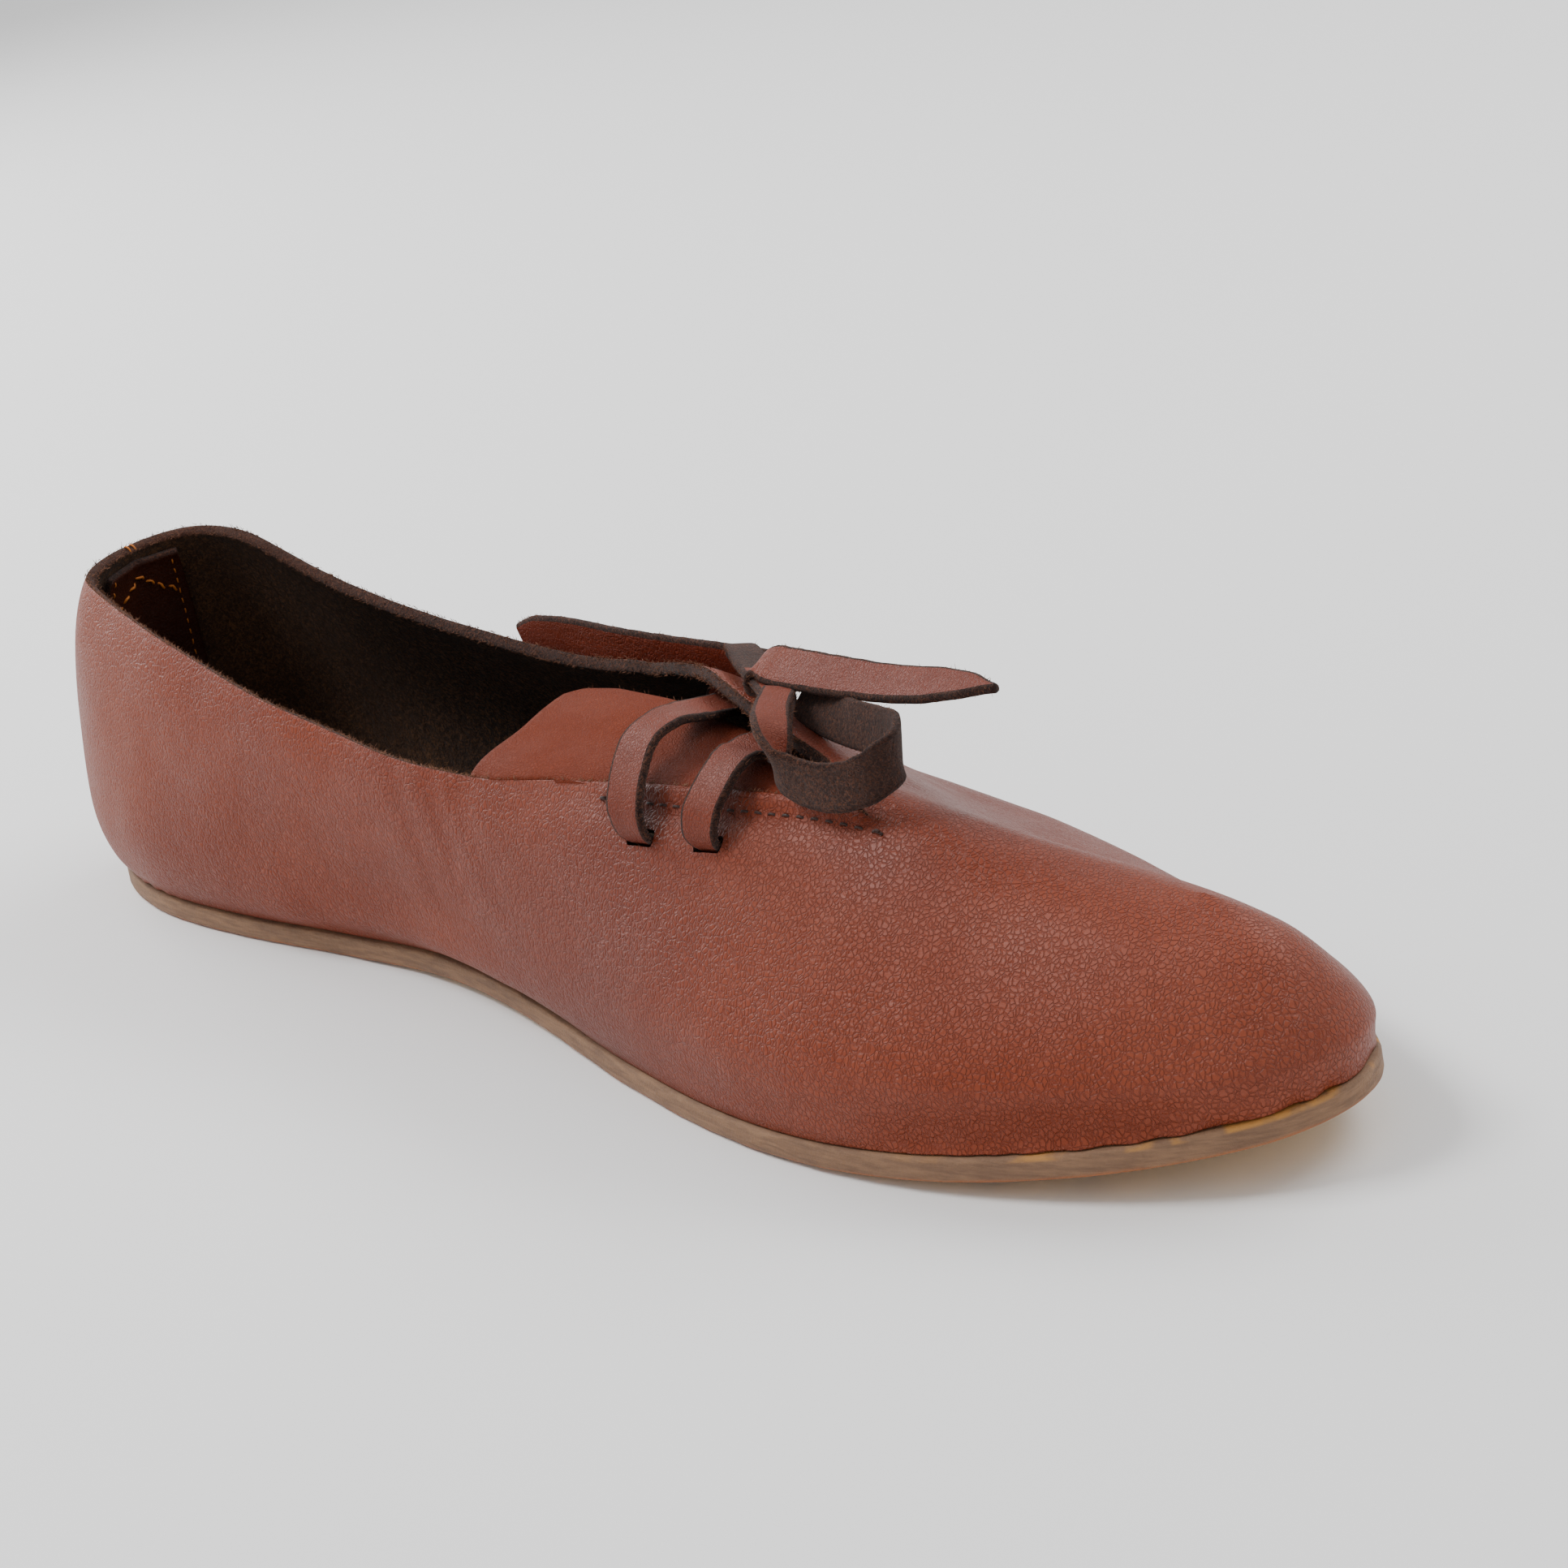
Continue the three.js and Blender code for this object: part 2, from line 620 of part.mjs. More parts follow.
// Rows on the last turned into a strap's rows; its width runs along the shoe, or round the last
function rowsOnLast(rows, round) {
  const tiny = 0.003;
  return rows.map((row) => {
    const step = toStep(row.at);
    const along = lastPoint(step + tiny, row.round).sub(lastPoint(step - tiny, row.round));
    const across = lastPoint(step, row.round + tiny).sub(lastPoint(step, row.round - tiny));
    return {
      place: lastPoint(step, row.round).addScaledVector(lastNormal(step, row.round), row.up),
      side: (round ? across : along).normalize(),
    };
  });
}

// Places of the free lace: shares of soleLength, ballWidth and collarHeight, then the direction
// of the strap's width and the share of it
const sideRun = [
  { x: 0.524, y: 0.2137, z: 0.8123, sideX: 1, sideY: -0.2, sideZ: 0, share: 1 },
  { x: 0.5285, y: 0.2137, z: 0.8456, sideX: 0.95, sideY: 0.2, sideZ: 0, share: 1 },
  { x: 0.5434, y: 0.1851, z: 0.8825, sideX: 0.7, sideY: 0.65, sideZ: -0.1, share: 1 },
  { x: 0.566, y: 0.1383, z: 0.9053, sideX: 0.5, sideY: 0.85, sideZ: -0.2, share: 1 },
  { x: 0.5903, y: 0.0869, z: 0.9175, sideX: 0.5, sideY: 0.85, sideZ: -0.3, share: 1 },
  { x: 0.6111, y: 0.048, z: 0.9246, sideX: 0.5, sideY: 0.8, sideZ: -0.35, share: 1 },
  { x: 0.6319, y: 0.0103, z: 0.9281, sideX: 0.55, sideY: 0.75, sideZ: -0.38, share: 1 },
  { x: 0.651, y: -0.0309, z: 0.9386, sideX: 0.7, sideY: 0.6, sideZ: -0.3, share: 1 },
  { x: 0.6701, y: -0.0823, z: 0.9456, sideX: 0.95, sideY: 0.2, sideZ: -0.15, share: 1 },
  { x: 0.6833, y: -0.1211, z: 0.9316, sideX: 0.95, sideY: 0.15, sideZ: -0.15, share: 1 },
  { x: 0.691, y: -0.1474, z: 0.907, sideX: 0.95, sideY: 0.1, sideZ: -0.2, share: 1 },
  { x: 0.6951, y: -0.1646, z: 0.8772, sideX: 0.95, sideY: 0.1, sideZ: -0.2, share: 1 },
];
const loop = [
  { x: 0.6514, y: -0.0709, z: 0.9965, sideX: 0.75, sideY: -0.57, sideZ: 0.34, share: 1 },
  { x: 0.6722, y: -0.128, z: 1.007, sideX: 0.75, sideY: -0.57, sideZ: 0.34, share: 1 },
  { x: 0.6924, y: -0.1829, z: 0.9982, sideX: 0.75, sideY: -0.57, sideZ: 0.4, share: 1 },
  { x: 0.7056, y: -0.2149, z: 0.9614, sideX: 0.5, sideY: -0.4, sideZ: 0.7, share: 1 },
  { x: 0.716, y: -0.224, z: 0.914, sideX: 0.2, sideY: -0.2, sideZ: 0.9, share: 1 },
  { x: 0.7312, y: -0.2217, z: 0.8789, sideX: -0.05, sideY: 0, sideZ: 0.98, share: 1 },
  { x: 0.7517, y: -0.208, z: 0.8719, sideX: -0.15, sideY: 0.15, sideZ: 0.97, share: 1 },
  { x: 0.7674, y: -0.1806, z: 0.8947, sideX: -0.15, sideY: 0.2, sideZ: 0.97, share: 1 },
  { x: 0.7726, y: -0.1394, z: 0.9281, sideX: -0.1, sideY: 0.25, sideZ: 0.97, share: 1 },
  { x: 0.7604, y: -0.0937, z: 0.9421, sideX: -0.05, sideY: 0.25, sideZ: 0.97, share: 1 },
  { x: 0.7378, y: -0.0617, z: 0.9246, sideX: 0, sideY: 0.25, sideZ: 0.97, share: 1 },
  { x: 0.7101, y: -0.0389, z: 0.9105, sideX: 0, sideY: 0.3, sideZ: 0.95, share: 1 },
  { x: 0.6858, y: -0.0149, z: 0.9053, sideX: 0, sideY: 0.6, sideZ: 0.8, share: 1 },
  { x: 0.6667, y: 0.0046, z: 0.907, sideX: 0, sideY: 0.75, sideZ: 0.65, share: 1 },
];
const frontEnd = [
  { x: 0.6236, y: 0.0229, z: 0.986, sideX: -0.1, sideY: 0.85, sideZ: 0.4, share: 1 },
  { x: 0.6389, y: 0.0183, z: 0.986, sideX: -0.3, sideY: 0.8, sideZ: 0.45, share: 1 },
  { x: 0.6632, y: 0.0171, z: 0.9877, sideX: -0.4, sideY: 0.75, sideZ: 0.43, share: 1 },
  { x: 0.6944, y: 0.0171, z: 0.9895, sideX: -0.4, sideY: 0.8, sideZ: 0.38, share: 1 },
  { x: 0.7257, y: 0.0171, z: 0.9965, sideX: -0.35, sideY: 0.87, sideZ: 0.33, share: 1 },
  { x: 0.7552, y: 0.0171, z: 1.0123, sideX: -0.25, sideY: 0.92, sideZ: 0.31, share: 1 },
  { x: 0.7795, y: 0.0183, z: 1.0263, sideX: -0.2, sideY: 0.92, sideZ: 0.25, share: 0.75 },
  { x: 0.8003, y: 0.0194, z: 1.0333, sideX: -0.2, sideY: 0.92, sideZ: 0.2, share: 0.3 },
];
const backEnd = [
  { x: 0.6406, y: 0.0823, z: 0.8807, sideX: -0.3, sideY: 0.6, sideZ: -0.75, share: 1 },
  { x: 0.6146, y: 0.1394, z: 0.8667, sideX: -0.3, sideY: 0.6, sideZ: -0.75, share: 1 },
  { x: 0.5833, y: 0.2011, z: 0.8333, sideX: -0.15, sideY: 0.5, sideZ: -0.85, share: 1 },
  { x: 0.5451, y: 0.264, z: 0.7965, sideX: 0, sideY: 0.4, sideZ: -0.92, share: 1 },
  { x: 0.5, y: 0.2663, z: 0.7825, sideX: 0, sideY: 0.3, sideZ: -0.95, share: 1 },
  { x: 0.4514, y: 0.2549, z: 0.7789, sideX: 0, sideY: 0.2, sideZ: -0.97, share: 1 },
  { x: 0.4062, y: 0.2469, z: 0.7825, sideX: 0, sideY: 0.15, sideZ: -0.98, share: 1 },
  { x: 0.3611, y: 0.2503, z: 0.7754, sideX: 0, sideY: 0.15, sideZ: -0.98, share: 1 },
  { x: 0.3299, y: 0.2583, z: 0.7491, sideX: 0, sideY: 0.15, sideZ: -0.98, share: 1 },
  { x: 0.3073, y: 0.2697, z: 0.7246, sideX: 0, sideY: 0.15, sideZ: -0.98, share: 0.7 },
];
const knot = [
  { x: 0.6191, y: 0.0229, z: 0.986, sideX: -0.1, sideY: 0.85, sideZ: 0.42, share: 1 },
  { x: 0.6139, y: 0.0194, z: 0.9842, sideX: 0, sideY: 0.87, sideZ: 0.35, share: 1 },
  { x: 0.6069, y: 0.0103, z: 0.9719, sideX: 0.2, sideY: 0.9, sideZ: 0.2, share: 1 },
  { x: 0.6028, y: -0.0011, z: 0.9526, sideX: 0.4, sideY: 0.85, sideZ: 0, share: 0.9 },
];
const freeLaces = [
  ["lace_side", sideRun, 16],
  ["lace_loop", loop, 22],
  ["lace_front_end", frontEnd, 14],
  ["lace_back_end", backEnd, 13],
  ["lace_knot", knot, 4],
];

function freeLace(rows, stepCount, grow) {
  return toSolid(strapGeometry(rows.map((row) => ({
    place: new THREE.Vector3(row.x * soleLength, row.y * ballWidth, row.z * collarHeight),
    side: new THREE.Vector3(row.sideX, row.sideY, row.sideZ),
    share: row.share,
  })), stepCount, grow));
}

// Free pieces of the lace in order; each gives way to the ones before it and keeps one body
function freeSolids() {
  const before = [];
  return freeLaces.map(([name, rows, stepCount]) => {
    const whole = freeLace(rows, stepCount, 0);
    const rest = before.reduce((left, other) => left.subtract(other), whole);
    before.push(freeLace(rows, stepCount, fitGap));
    return [name, rest.decompose().sort((a, b) => b.volume() - a.volume())[0]];
  });
}

const finish = (color, roughness, metalness) =>
  new THREE.MeshStandardMaterial({ color, roughness, metalness });
const grain = finish(0x96543f, 0.5, 0);
const soleLeather = finish(0xc99a63, 0.6, 0);
const liningLeather = finish(0x8a6a48, 0.8, 0);
const laceLeather = finish(0x8c4b38, 0.55, 0);
const steel = finish(0x8b9093, 0.4, 0.9);

const shoe = new THREE.Group();

function add(name, geometry, material) {
  const mesh = new THREE.Mesh(geometry, material);
  mesh.name = name;
  shoe.add(mesh);
  return mesh;
}

const crossings = [rowsOnLast(rearCrossing, false), rowsOnLast(frontCrossing, false)];
const bar = rowsOnLast(innerBar, true);
const crossingSolid = crossings.map((rows) => toSolid(strapGeometry(rows, 18)))
  .reduce((sum, part) => sum.add(part), toSolid(strapGeometry(bar, 3)));
const slots = crossings.flatMap((rows) => [rows.slice(0, slotOut), rows.slice(-slotOut - 1)])
  .map((rows) => toSolid(strapGeometry(rows, 2 * slotOut, slotGap)));
const slottedUpper = slots.reduce((rest, slot) => rest.subtract(slot), toSolid(upperGeometry()));

const places = nailPlaces();
add("outsole", outsoleGeometry(places), soleLeather);
add("insole", insoleGeometry(), liningLeather);
add("upper", toGeometry(slottedUpper), grain);
add("gusset", gussetGeometry(), grain);
add("heel_stay", stayGeometry(), grain);
add("lace_crossings", toGeometry(crossingSolid), laceLeather);
for (const [name, solid] of freeSolids()) add(name, toGeometry(solid), laceLeather);
places.forEach((matrix, i) => {
  const nail = add(`nail_${String(i + 1).padStart(2, "0")}`, nailGeometry(0, 0), steel);
  nail.applyMatrix4(matrix);
});

shoe.position.x = -heelSeat;

export default shoe;
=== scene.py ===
import math
import random
from itertools import pairwise

import bmesh
import bpy
import numpy as np
from mathutils import Matrix, Vector, noise
from mathutils.geometry import delaunay_2d_cdt


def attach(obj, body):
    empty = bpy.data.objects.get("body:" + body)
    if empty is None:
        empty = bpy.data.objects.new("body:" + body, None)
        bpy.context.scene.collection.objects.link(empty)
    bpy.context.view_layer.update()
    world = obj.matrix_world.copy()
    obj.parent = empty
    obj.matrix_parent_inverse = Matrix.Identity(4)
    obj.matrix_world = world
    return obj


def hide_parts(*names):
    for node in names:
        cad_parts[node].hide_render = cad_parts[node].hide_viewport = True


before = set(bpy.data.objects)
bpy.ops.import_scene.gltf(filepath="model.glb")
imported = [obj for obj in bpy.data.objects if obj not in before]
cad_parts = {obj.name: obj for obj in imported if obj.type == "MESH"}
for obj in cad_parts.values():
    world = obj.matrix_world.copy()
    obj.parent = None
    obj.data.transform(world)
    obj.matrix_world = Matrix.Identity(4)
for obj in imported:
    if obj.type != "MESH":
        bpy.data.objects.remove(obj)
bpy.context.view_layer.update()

# A left medieval lace-up shoe. Shapes are worked out in millimetres from the back of the sole, as
# the solids are, and go to metres in the frame at the end. -Y is the inner side of the foot.
HEEL_SEAT = 36



def new_object(name, data):
    item = bpy.data.objects.new(name, data)
    bpy.context.collection.objects.link(item)
    return item


# Camera at the photograph's angle

AZIMUTH, ELEVATION, ROLL = 0.9145, 0.3489, -0.2045
CAMERA_PLACE = (0.583424, -0.337424, 0.238836)
PIXELS, FOCAL_PIXELS, SENSOR = 1932, 4872, 36

camera_data = bpy.data.cameras.new("camera")
camera_data.sensor_width = SENSOR
camera_data.lens = SENSOR * FOCAL_PIXELS / PIXELS
camera_data.clip_start = 0.01
camera_data.clip_end = 400
camera = new_object("camera", camera_data)
flat_right = Vector((math.cos(AZIMUTH), math.sin(AZIMUTH), 0))
view_back = Vector((math.sin(AZIMUTH) * math.cos(ELEVATION), -math.cos(AZIMUTH) * math.cos(ELEVATION),
                    math.sin(ELEVATION)))
flat_up = view_back.cross(flat_right)
view_right = flat_right * math.cos(ROLL) + flat_up * math.sin(ROLL)
view_up = flat_up * math.cos(ROLL) - flat_right * math.sin(ROLL)
turn = Matrix((view_right, view_up, view_back)).transposed().to_4x4()
camera.matrix_world = Matrix.Translation(CAMERA_PLACE) @ turn
bpy.context.scene.camera = camera

# Sizes of the shoe in millimetres

SOLE_LENGTH, BALL, WAIST, HEEL = 288, 87.5, 58.5, 59
SOLE_THICKNESS, TOE_SPRING, TOE_SPRING_START = 3.8, 8, 200
ARCH_LIFT, ARCH_START, ARCH_END = 1.2, 80, 172
WALL, COLLAR, INSTEP, TOE = 2, 57, 52, 34
FEATHER, MARGIN, HEEL_FAN, TOE_FAN = 0.8, 10, 0.05, 0.075
BULGE_HEIGHT, TURN_HEIGHT, TURN_SHARE = 0.33, 3.5, 0.8
FIT_GAP, LAYER_GAP = 0.3, 0.9
LACE_WIDTH, LACE_THICKNESS = 7, 1.8
NAILS, NAIL_INSET, NAIL_HEAD, NAIL_SIDES = 42, 6.5, 3.4, 20
THROAT_START, THROAT_END, FLAP_REACH = 0.46, 0.79, 1.3

# Outline of the sole: share of the length, inner and outer reach as shares of a width
OUTLINE = [
    (0, -.02, .02, HEEL), (.02, .262, .307, HEEL), (.06, .382, .437, HEEL), (.12, .443, .517, HEEL),
    (.2, .433, .573, HEEL), (.3, .38, .614, WAIST), (.36, .364, .648, WAIST), (.43, .394, .71, WAIST),
    (.5, .306, .525, BALL), (.6, .381, .576, BALL), (.68, .426, .575, BALL), (.75, .437, .531, BALL),
    (.82, .412, .453, BALL), (.9, .329, .321, BALL), (.96, .218, .195, BALL), (.99, .121, .099, BALL),
    (1, .01, -.01, BALL)]
# Sections: share of the length, height, ridge, side, then bulge, in and up of each half
SECTIONS = [
    (0, COLLAR, 1.12, .01, .036, .18, .995, .036, .18, .995),
    (.02, COLLAR, 1.12, .01, .04, .22, .98, .036, .24, 1),
    (.06, COLLAR, 1.12, .01, .04, .27, .96, .036, .36, .975),
    (.12, COLLAR, 1.08, .01, .038, .25, .92, .033, .43, .885),
    (.2, COLLAR, 1.02, 0, .042, .13, .865, .03, .48, .82),
    (.3, COLLAR, .97, 0, .054, -.11, .795, .03, .5, .775),
    (.4, COLLAR, .92, 0, .056, -.16, .735, .02, .56, .76),
    (.47, INSTEP, .97, 0, .047, 0, .8, .01, .62, .86),
    (.55, INSTEP, .98, -.02, .03, .25, .84, -.015, .52, .7),
    (.64, INSTEP, .955, -.06, .014, .5, .87, -.037, .5, .6),
    (.72, INSTEP, .92, -.1, .006, .7, .885, -.04, .5, .54),
    (.8, INSTEP, .865, -.1, .004, .76, .845, -.036, .5, .505),
    (.88, TOE, 1.165, -.05, .004, .62, 1.08, -.015, .48, .8),
    (.95, TOE, 1.06, -.02, .008, .47, .95, .002, .42, .83),
    (1, TOE, 1.03, 0, .012, .34, .88, .012, .34, .88)]
# Edge of the flap: share of the length, how far it has come over, and its lift
FLAP = [(THROAT_START, 0, 0), (.51, .2, .04), (.57, .375, .06), (.64, .47, .06), (.7, .495, .045),
        (.745, .56, .025), (THROAT_END, 1, 0)]
# Upper edge of the gusset: share of the length, round
GUSSET = [(.468, 3.86), (.476, 4), (.5, 4.14), (.56, 4.24), (.66, 4.3), (.74, 4.1), (.775, 3.7), (.8, 3.35)]

# Crossings of the lace: share of the length, round, height off the last
REAR_CROSSING = [
    (.624, 2.72, -3.9), (.624, 2.72, -1), (.624, 2.74, 1.6), (.622, 2.83, 3.7), (.618, 3.02, 4.5),
    (.616, 3.26, 4.8), (.616, 3.5, 3.4), (.611, 3.75, .9), (.604, 3.96, -.7), (.575, 4.42, -1.2),
    (.542, 4.7, -2.2), (.53, 4.79, -1.9), (.526, 4.82, .8), (.526, 4.82, 2.9)]
FRONT_CROSSING = [
    (.677, 2.72, -3.9), (.677, 2.72, -1), (.678, 2.74, 1.6), (.681, 2.82, 3.6), (.685, 2.98, 3.9),
    (.684, 3.2, 3), (.681, 3.4, 1.6), (.677, 3.62, -.1), (.674, 3.9, -.8), (.672, 4.25, -.8),
    (.67, 4.42, -.7), (.669, 4.47, 1), (.669, 4.48, 2.9)]
INNER_BAR = [(.614, 2.63, -3.2), (.635, 2.63, -3.2), (.675, 2.63, -3.2), (.695, 2.63, -3.2)]

# Free lace: shares of length, ball and collar, direction of the width, share of the width
SIDE_RUN = [
    (.524, .2137, .8123, 1, -.2, 0, .6), (.5285, .2137, .8456, .95, .2, 0, .6),
    (.5434, .1851, .8825, .7, .65, -.1, .65), (.566, .1383, .9053, .5, .85, -.2, .75),
    (.5903, .0869, .9175, .5, .85, -.3, .85), (.6111, .048, .9246, .5, .8, -.35, .9),
    (.6319, .0103, .9281, .55, .75, -.38, .9), (.651, -.0309, .9386, .7, .6, -.3, .8),
    (.6701, -.0823, .9456, .95, .2, -.15, .6), (.6833, -.1211, .9316, .95, .15, -.15, .5),
    (.691, -.1474, .907, .95, .1, -.2, .5), (.6951, -.1646, .8772, .95, .1, -.2, .5)]
LOOP = [
    (.6497, -.0206, .9509, -.65, -.73, .19, .7), (.6788, -.12, .9754, -.6, -.75, .25, .75),
    (.7, -.184, .9754, -.4, -.65, .6, .85), (.7104, -.2149, .9404, -.05, -.4, .9, .95),
    (.7184, -.2251, .9053, .05, -.1, .97, 1), (.7312, -.2217, .8789, -.05, 0, .98, 1),
    (.7517, -.208, .8719, -.15, .15, .97, 1), (.7674, -.1806, .8947, -.15, .2, .97, 1),
    (.7726, -.1394, .9281, -.1, .25, .97, 1), (.7604, -.0937, .9421, -.05, .25, .97, 1),
    (.7378, -.0617, .9246, 0, .25, .97, 1), (.7101, -.0389, .9105, 0, .3, .95, 1),
    (.6858, -.0149, .9053, 0, .6, .8, 1), (.6667, .0046, .907, 0, .7, .7, 1),
    (.6507, .0217, .9053, 0, .7, .7, .9)]
KNOT = [
    (.6271, .0057, .9035, .1, .93, .3, .6), (.6208, .0103, .9404, .05, .93, .33, .62),
    (.6229, .0171, .9754, 0, .9, .4, .75), (.6299, .0206, .9877, -.1, .87, .43, .95)]
FRONT_END = [
    (.6389, .0183, .986, -.3, .8, .45, 1), (.6632, .0171, .9877, -.4, .75, .43, 1),
    (.6944, .0171, .9895, -.4, .8, .38, 1), (.7257, .0171, .9965, -.35, .87, .33, 1),
    (.7552, .0171, 1.0123, -.25, .92, .31, 1), (.7795, .0183, 1.0263, -.2, .92, .25, .72),
    (.8003, .0194, 1.0333, -.2, .92, .2, .12)]
BACK_END = [
    (.6406, .0823, .8807, -.3, .6, -.75, 1), (.6146, .1394, .8667, -.3, .6, -.75, 1),
    (.5833, .2309, .7982, -.15, .5, -.85, 1), (.5451, .296, .7526, 0, .4, -.92, 1),
    (.5, .2789, .7596, 0, .3, -.95, 1), (.4514, .2571, .765, 0, .2, -.97, 1),
    (.4062, .2469, .768, 0, .15, -.98, 1), (.3611, .2503, .768, 0, .15, -.98, 1),
    (.3299, .2583, .7491, 0, .15, -.98, 1), (.3073, .2697, .7246, 0, .15, -.98, .7)]

# The last's surface, the same as the solids'. Round a section, places count from 0 at the inner edge
# of the sole, over the ridge at the middle, to ROUND at the outer edge.
ROUND = 8


def to_step(at):
    return math.acos(1 - 2 * at) / math.pi


def to_share(step):
    return (1 - math.cos(math.pi * step)) / 2


class Table:
    """A table's columns, drawn through smoothly and past both ends into the other side's column."""

    def __init__(self, rows):
        self.knots = [to_step(row[0]) for row in rows]
        self.times = [-self.knots[1], *self.knots, 2 - self.knots[-2]]

    def value(self, own, past, step):
        times, last = self.times, len(self.knots) - 1
        i = 1
        while i < last and times[i + 1] < step:
            i += 1
        level = [past[1], *own, past[-2]]
        a, b, c, d = times[i - 1:i + 3]
        p, q, r, s = level[i - 1:i + 3]
        span = c - b
        u = (step - b) / span
        first = ((q - p) / (b - a) * (c - b) + (r - q) / (c - b) * (b - a)) / (c - a) * span
        second = ((r - q) / (c - b) * (d - c) + (s - r) / (d - c) * (c - b)) / (d - b) * span
        return ((2 * u ** 3 - 3 * u ** 2 + 1) * q + (u ** 3 - 2 * u ** 2 + u) * first
                + (3 * u ** 2 - 2 * u ** 3) * r + (u ** 3 - u ** 2) * second)


outline_table, section_table = Table(OUTLINE), Table(SECTIONS)
inner_reach = [-row[1] * row[3] for row in OUTLINE]
outer_reach = [row[2] * row[3] for row in OUTLINE]
ridge_side = [row[3] * BALL for row in SECTIONS]
ridge_up = [row[2] * row[1] for row in SECTIONS]
halves = {side: [[row[k] for row in SECTIONS], [row[k + 1] for row in SECTIONS],
                 [row[k + 2] * row[1] for row in SECTIONS]] for side, k in ((-1, 4), (1, 7))}


def unit(vector):
    return vector / (np.linalg.norm(vector) + 1e-9)


def lift(x):
    toe = np.maximum(0, (x - TOE_SPRING_START) / (SOLE_LENGTH - TOE_SPRING_START))
    arch = np.clip((x - ARCH_START) / (ARCH_END - ARCH_START), 0, 1)
    return TOE_SPRING * toe ** 2 + ARCH_LIFT * np.sin(math.pi * arch) ** 2


def rim(step, side):
    if step < 0:
        return rim(-step, -side)
    if step > 1:
        return rim(2 - step, -side)
    if side < 0:
        y = outline_table.value(inner_reach, outer_reach, step)
    else:
        y = outline_table.value(outer_reach, inner_reach, step)
    return np.array([SOLE_LENGTH * to_share(step), y])


def rim_inset(step, side, inset):
    run = rim(step + 0.002, side) - rim(step - 0.002, side)
    run /= np.linalg.norm(run)
    return rim(step, side) - np.array([run[1], -run[0]]) * -side * inset


def half_section(step, side):
    pick = [section_table.value(own, past, step) for own, past in zip(halves[side], halves[-side])]
    bulge, inward, shoulder_up = pick
    foot = rim_inset(step, side, FEATHER)
    wide = rim_inset(step, side, FEATHER - bulge * BALL)
    at = to_share(step)
    ridge = np.array([SOLE_LENGTH * (at + HEEL_FAN * (1 - at) ** 3 - TOE_FAN * at ** 3),
                      section_table.value(ridge_side, ridge_side, step)])
    base = lift(foot[0]) + SOLE_THICKNESS + FIT_GAP
    rise = [base, base + TURN_HEIGHT, base + (shoulder_up - base) * BULGE_HEIGHT, shoulder_up,
            section_table.value(ridge_up, ridge_up, step)]
    flat = [foot, foot + (wide - foot) * TURN_SHARE, wide, foot + (ridge - foot) * inward, ridge]
    return [np.array([*p, z]) for p, z in zip(flat, rise)]


known_sections = {}


def section_points(step):
    key = round(step, 7)
    if key not in known_sections:
        known_sections[key] = np.array(half_section(step, -1) + half_section(step, 1)[::-1][1:])
    return known_sections[key]


def on_curve(points, where):
    """Points of a centripetal curve, at shares of its knots."""
    count = len(points) - 1
    place = np.clip(np.asarray(where, float), 0, 1) * count
    k = np.minimum(np.floor(place).astype(int), count - 1)
    w = (place - k)[:, None]
    more = np.vstack([2 * points[0] - points[1], points, 2 * points[-1] - points[-2]])
    p0, p1, p2, p3 = more[k], more[k + 1], more[k + 2], more[k + 3]
    d0, d1, d2 = [(((a - b) ** 2).sum(1) ** 0.25)[:, None] for a, b in ((p0, p1), (p1, p2), (p2, p3))]
    d1 = np.where(d1 < 1e-4, 1, d1)
    d0, d2 = np.where(d0 < 1e-4, d1, d0), np.where(d2 < 1e-4, d1, d2)
    t1 = ((p1 - p0) / d0 - (p2 - p0) / (d0 + d1) + (p2 - p1) / d1) * d1
    t2 = ((p2 - p1) / d1 - (p3 - p1) / (d1 + d2) + (p3 - p2) / d2) * d1
    return p1 + t1 * w + (3 * p2 - 3 * p1 - 2 * t1 - t2) * w ** 2 + (2 * p1 - 2 * p2 + t1 + t2) * w ** 3


def last_points(step, rounds):
    rounds = np.asarray(rounds, float)
    if step < 0:
        return last_points(-step, ROUND - rounds)
    if step > 1:
        return last_points(2 - step, ROUND - rounds)
    return on_curve(section_points(step), np.clip(rounds, 0, ROUND) / ROUND)


def last_point(step, around):
    return last_points(step, [around])[0]


def last_normals(step, rounds):
    rounds = np.asarray(rounds, float)
    along = last_points(step + 0.003, rounds) - last_points(step - 0.003, rounds)
    along[np.linalg.norm(along, axis=1) < 1e-4] = (0, 1, 0)
    across = last_points(step, rounds + 0.01) - last_points(step, rounds - 0.01)
    normals = np.cross(along, across)
    normals /= np.linalg.norm(normals, axis=1, keepdims=True) + 1e-12
    core = section_points(min(1, max(0, step)))[4] * (1, 1, 0.35)
    facing = ((last_points(step, rounds) - core) * normals).sum(1)
    return np.where(facing[:, None] < 0, -normals, normals)


def flap_value(at, column):
    if at <= THROAT_START or at >= THROAT_END:
        return 0
    i = 0
    while FLAP[i + 1][0] < at:
        i += 1
    u = (at - FLAP[i][0]) / (FLAP[i + 1][0] - FLAP[i][0])
    p0, p1, p2, p3 = [FLAP[min(len(FLAP) - 1, max(0, k))][column] for k in range(i - 1, i + 3)]
    v0, v1 = (p2 - p0) / 2, (p3 - p1) / 2
    return (2 * p1 - 2 * p2 + v0 + v1) * u ** 3 + (3 * p2 - 3 * p1 - 2 * v0 - v1) * u ** 2 + v0 * u + p1


def inner_edge(at):
    return 3 if at <= THROAT_END else 3 + (at - THROAT_END) / (1 - THROAT_END)


def outer_edge(at):
    return inner_edge(at) if at >= THROAT_END else 5 - 2 * flap_value(at, 1)


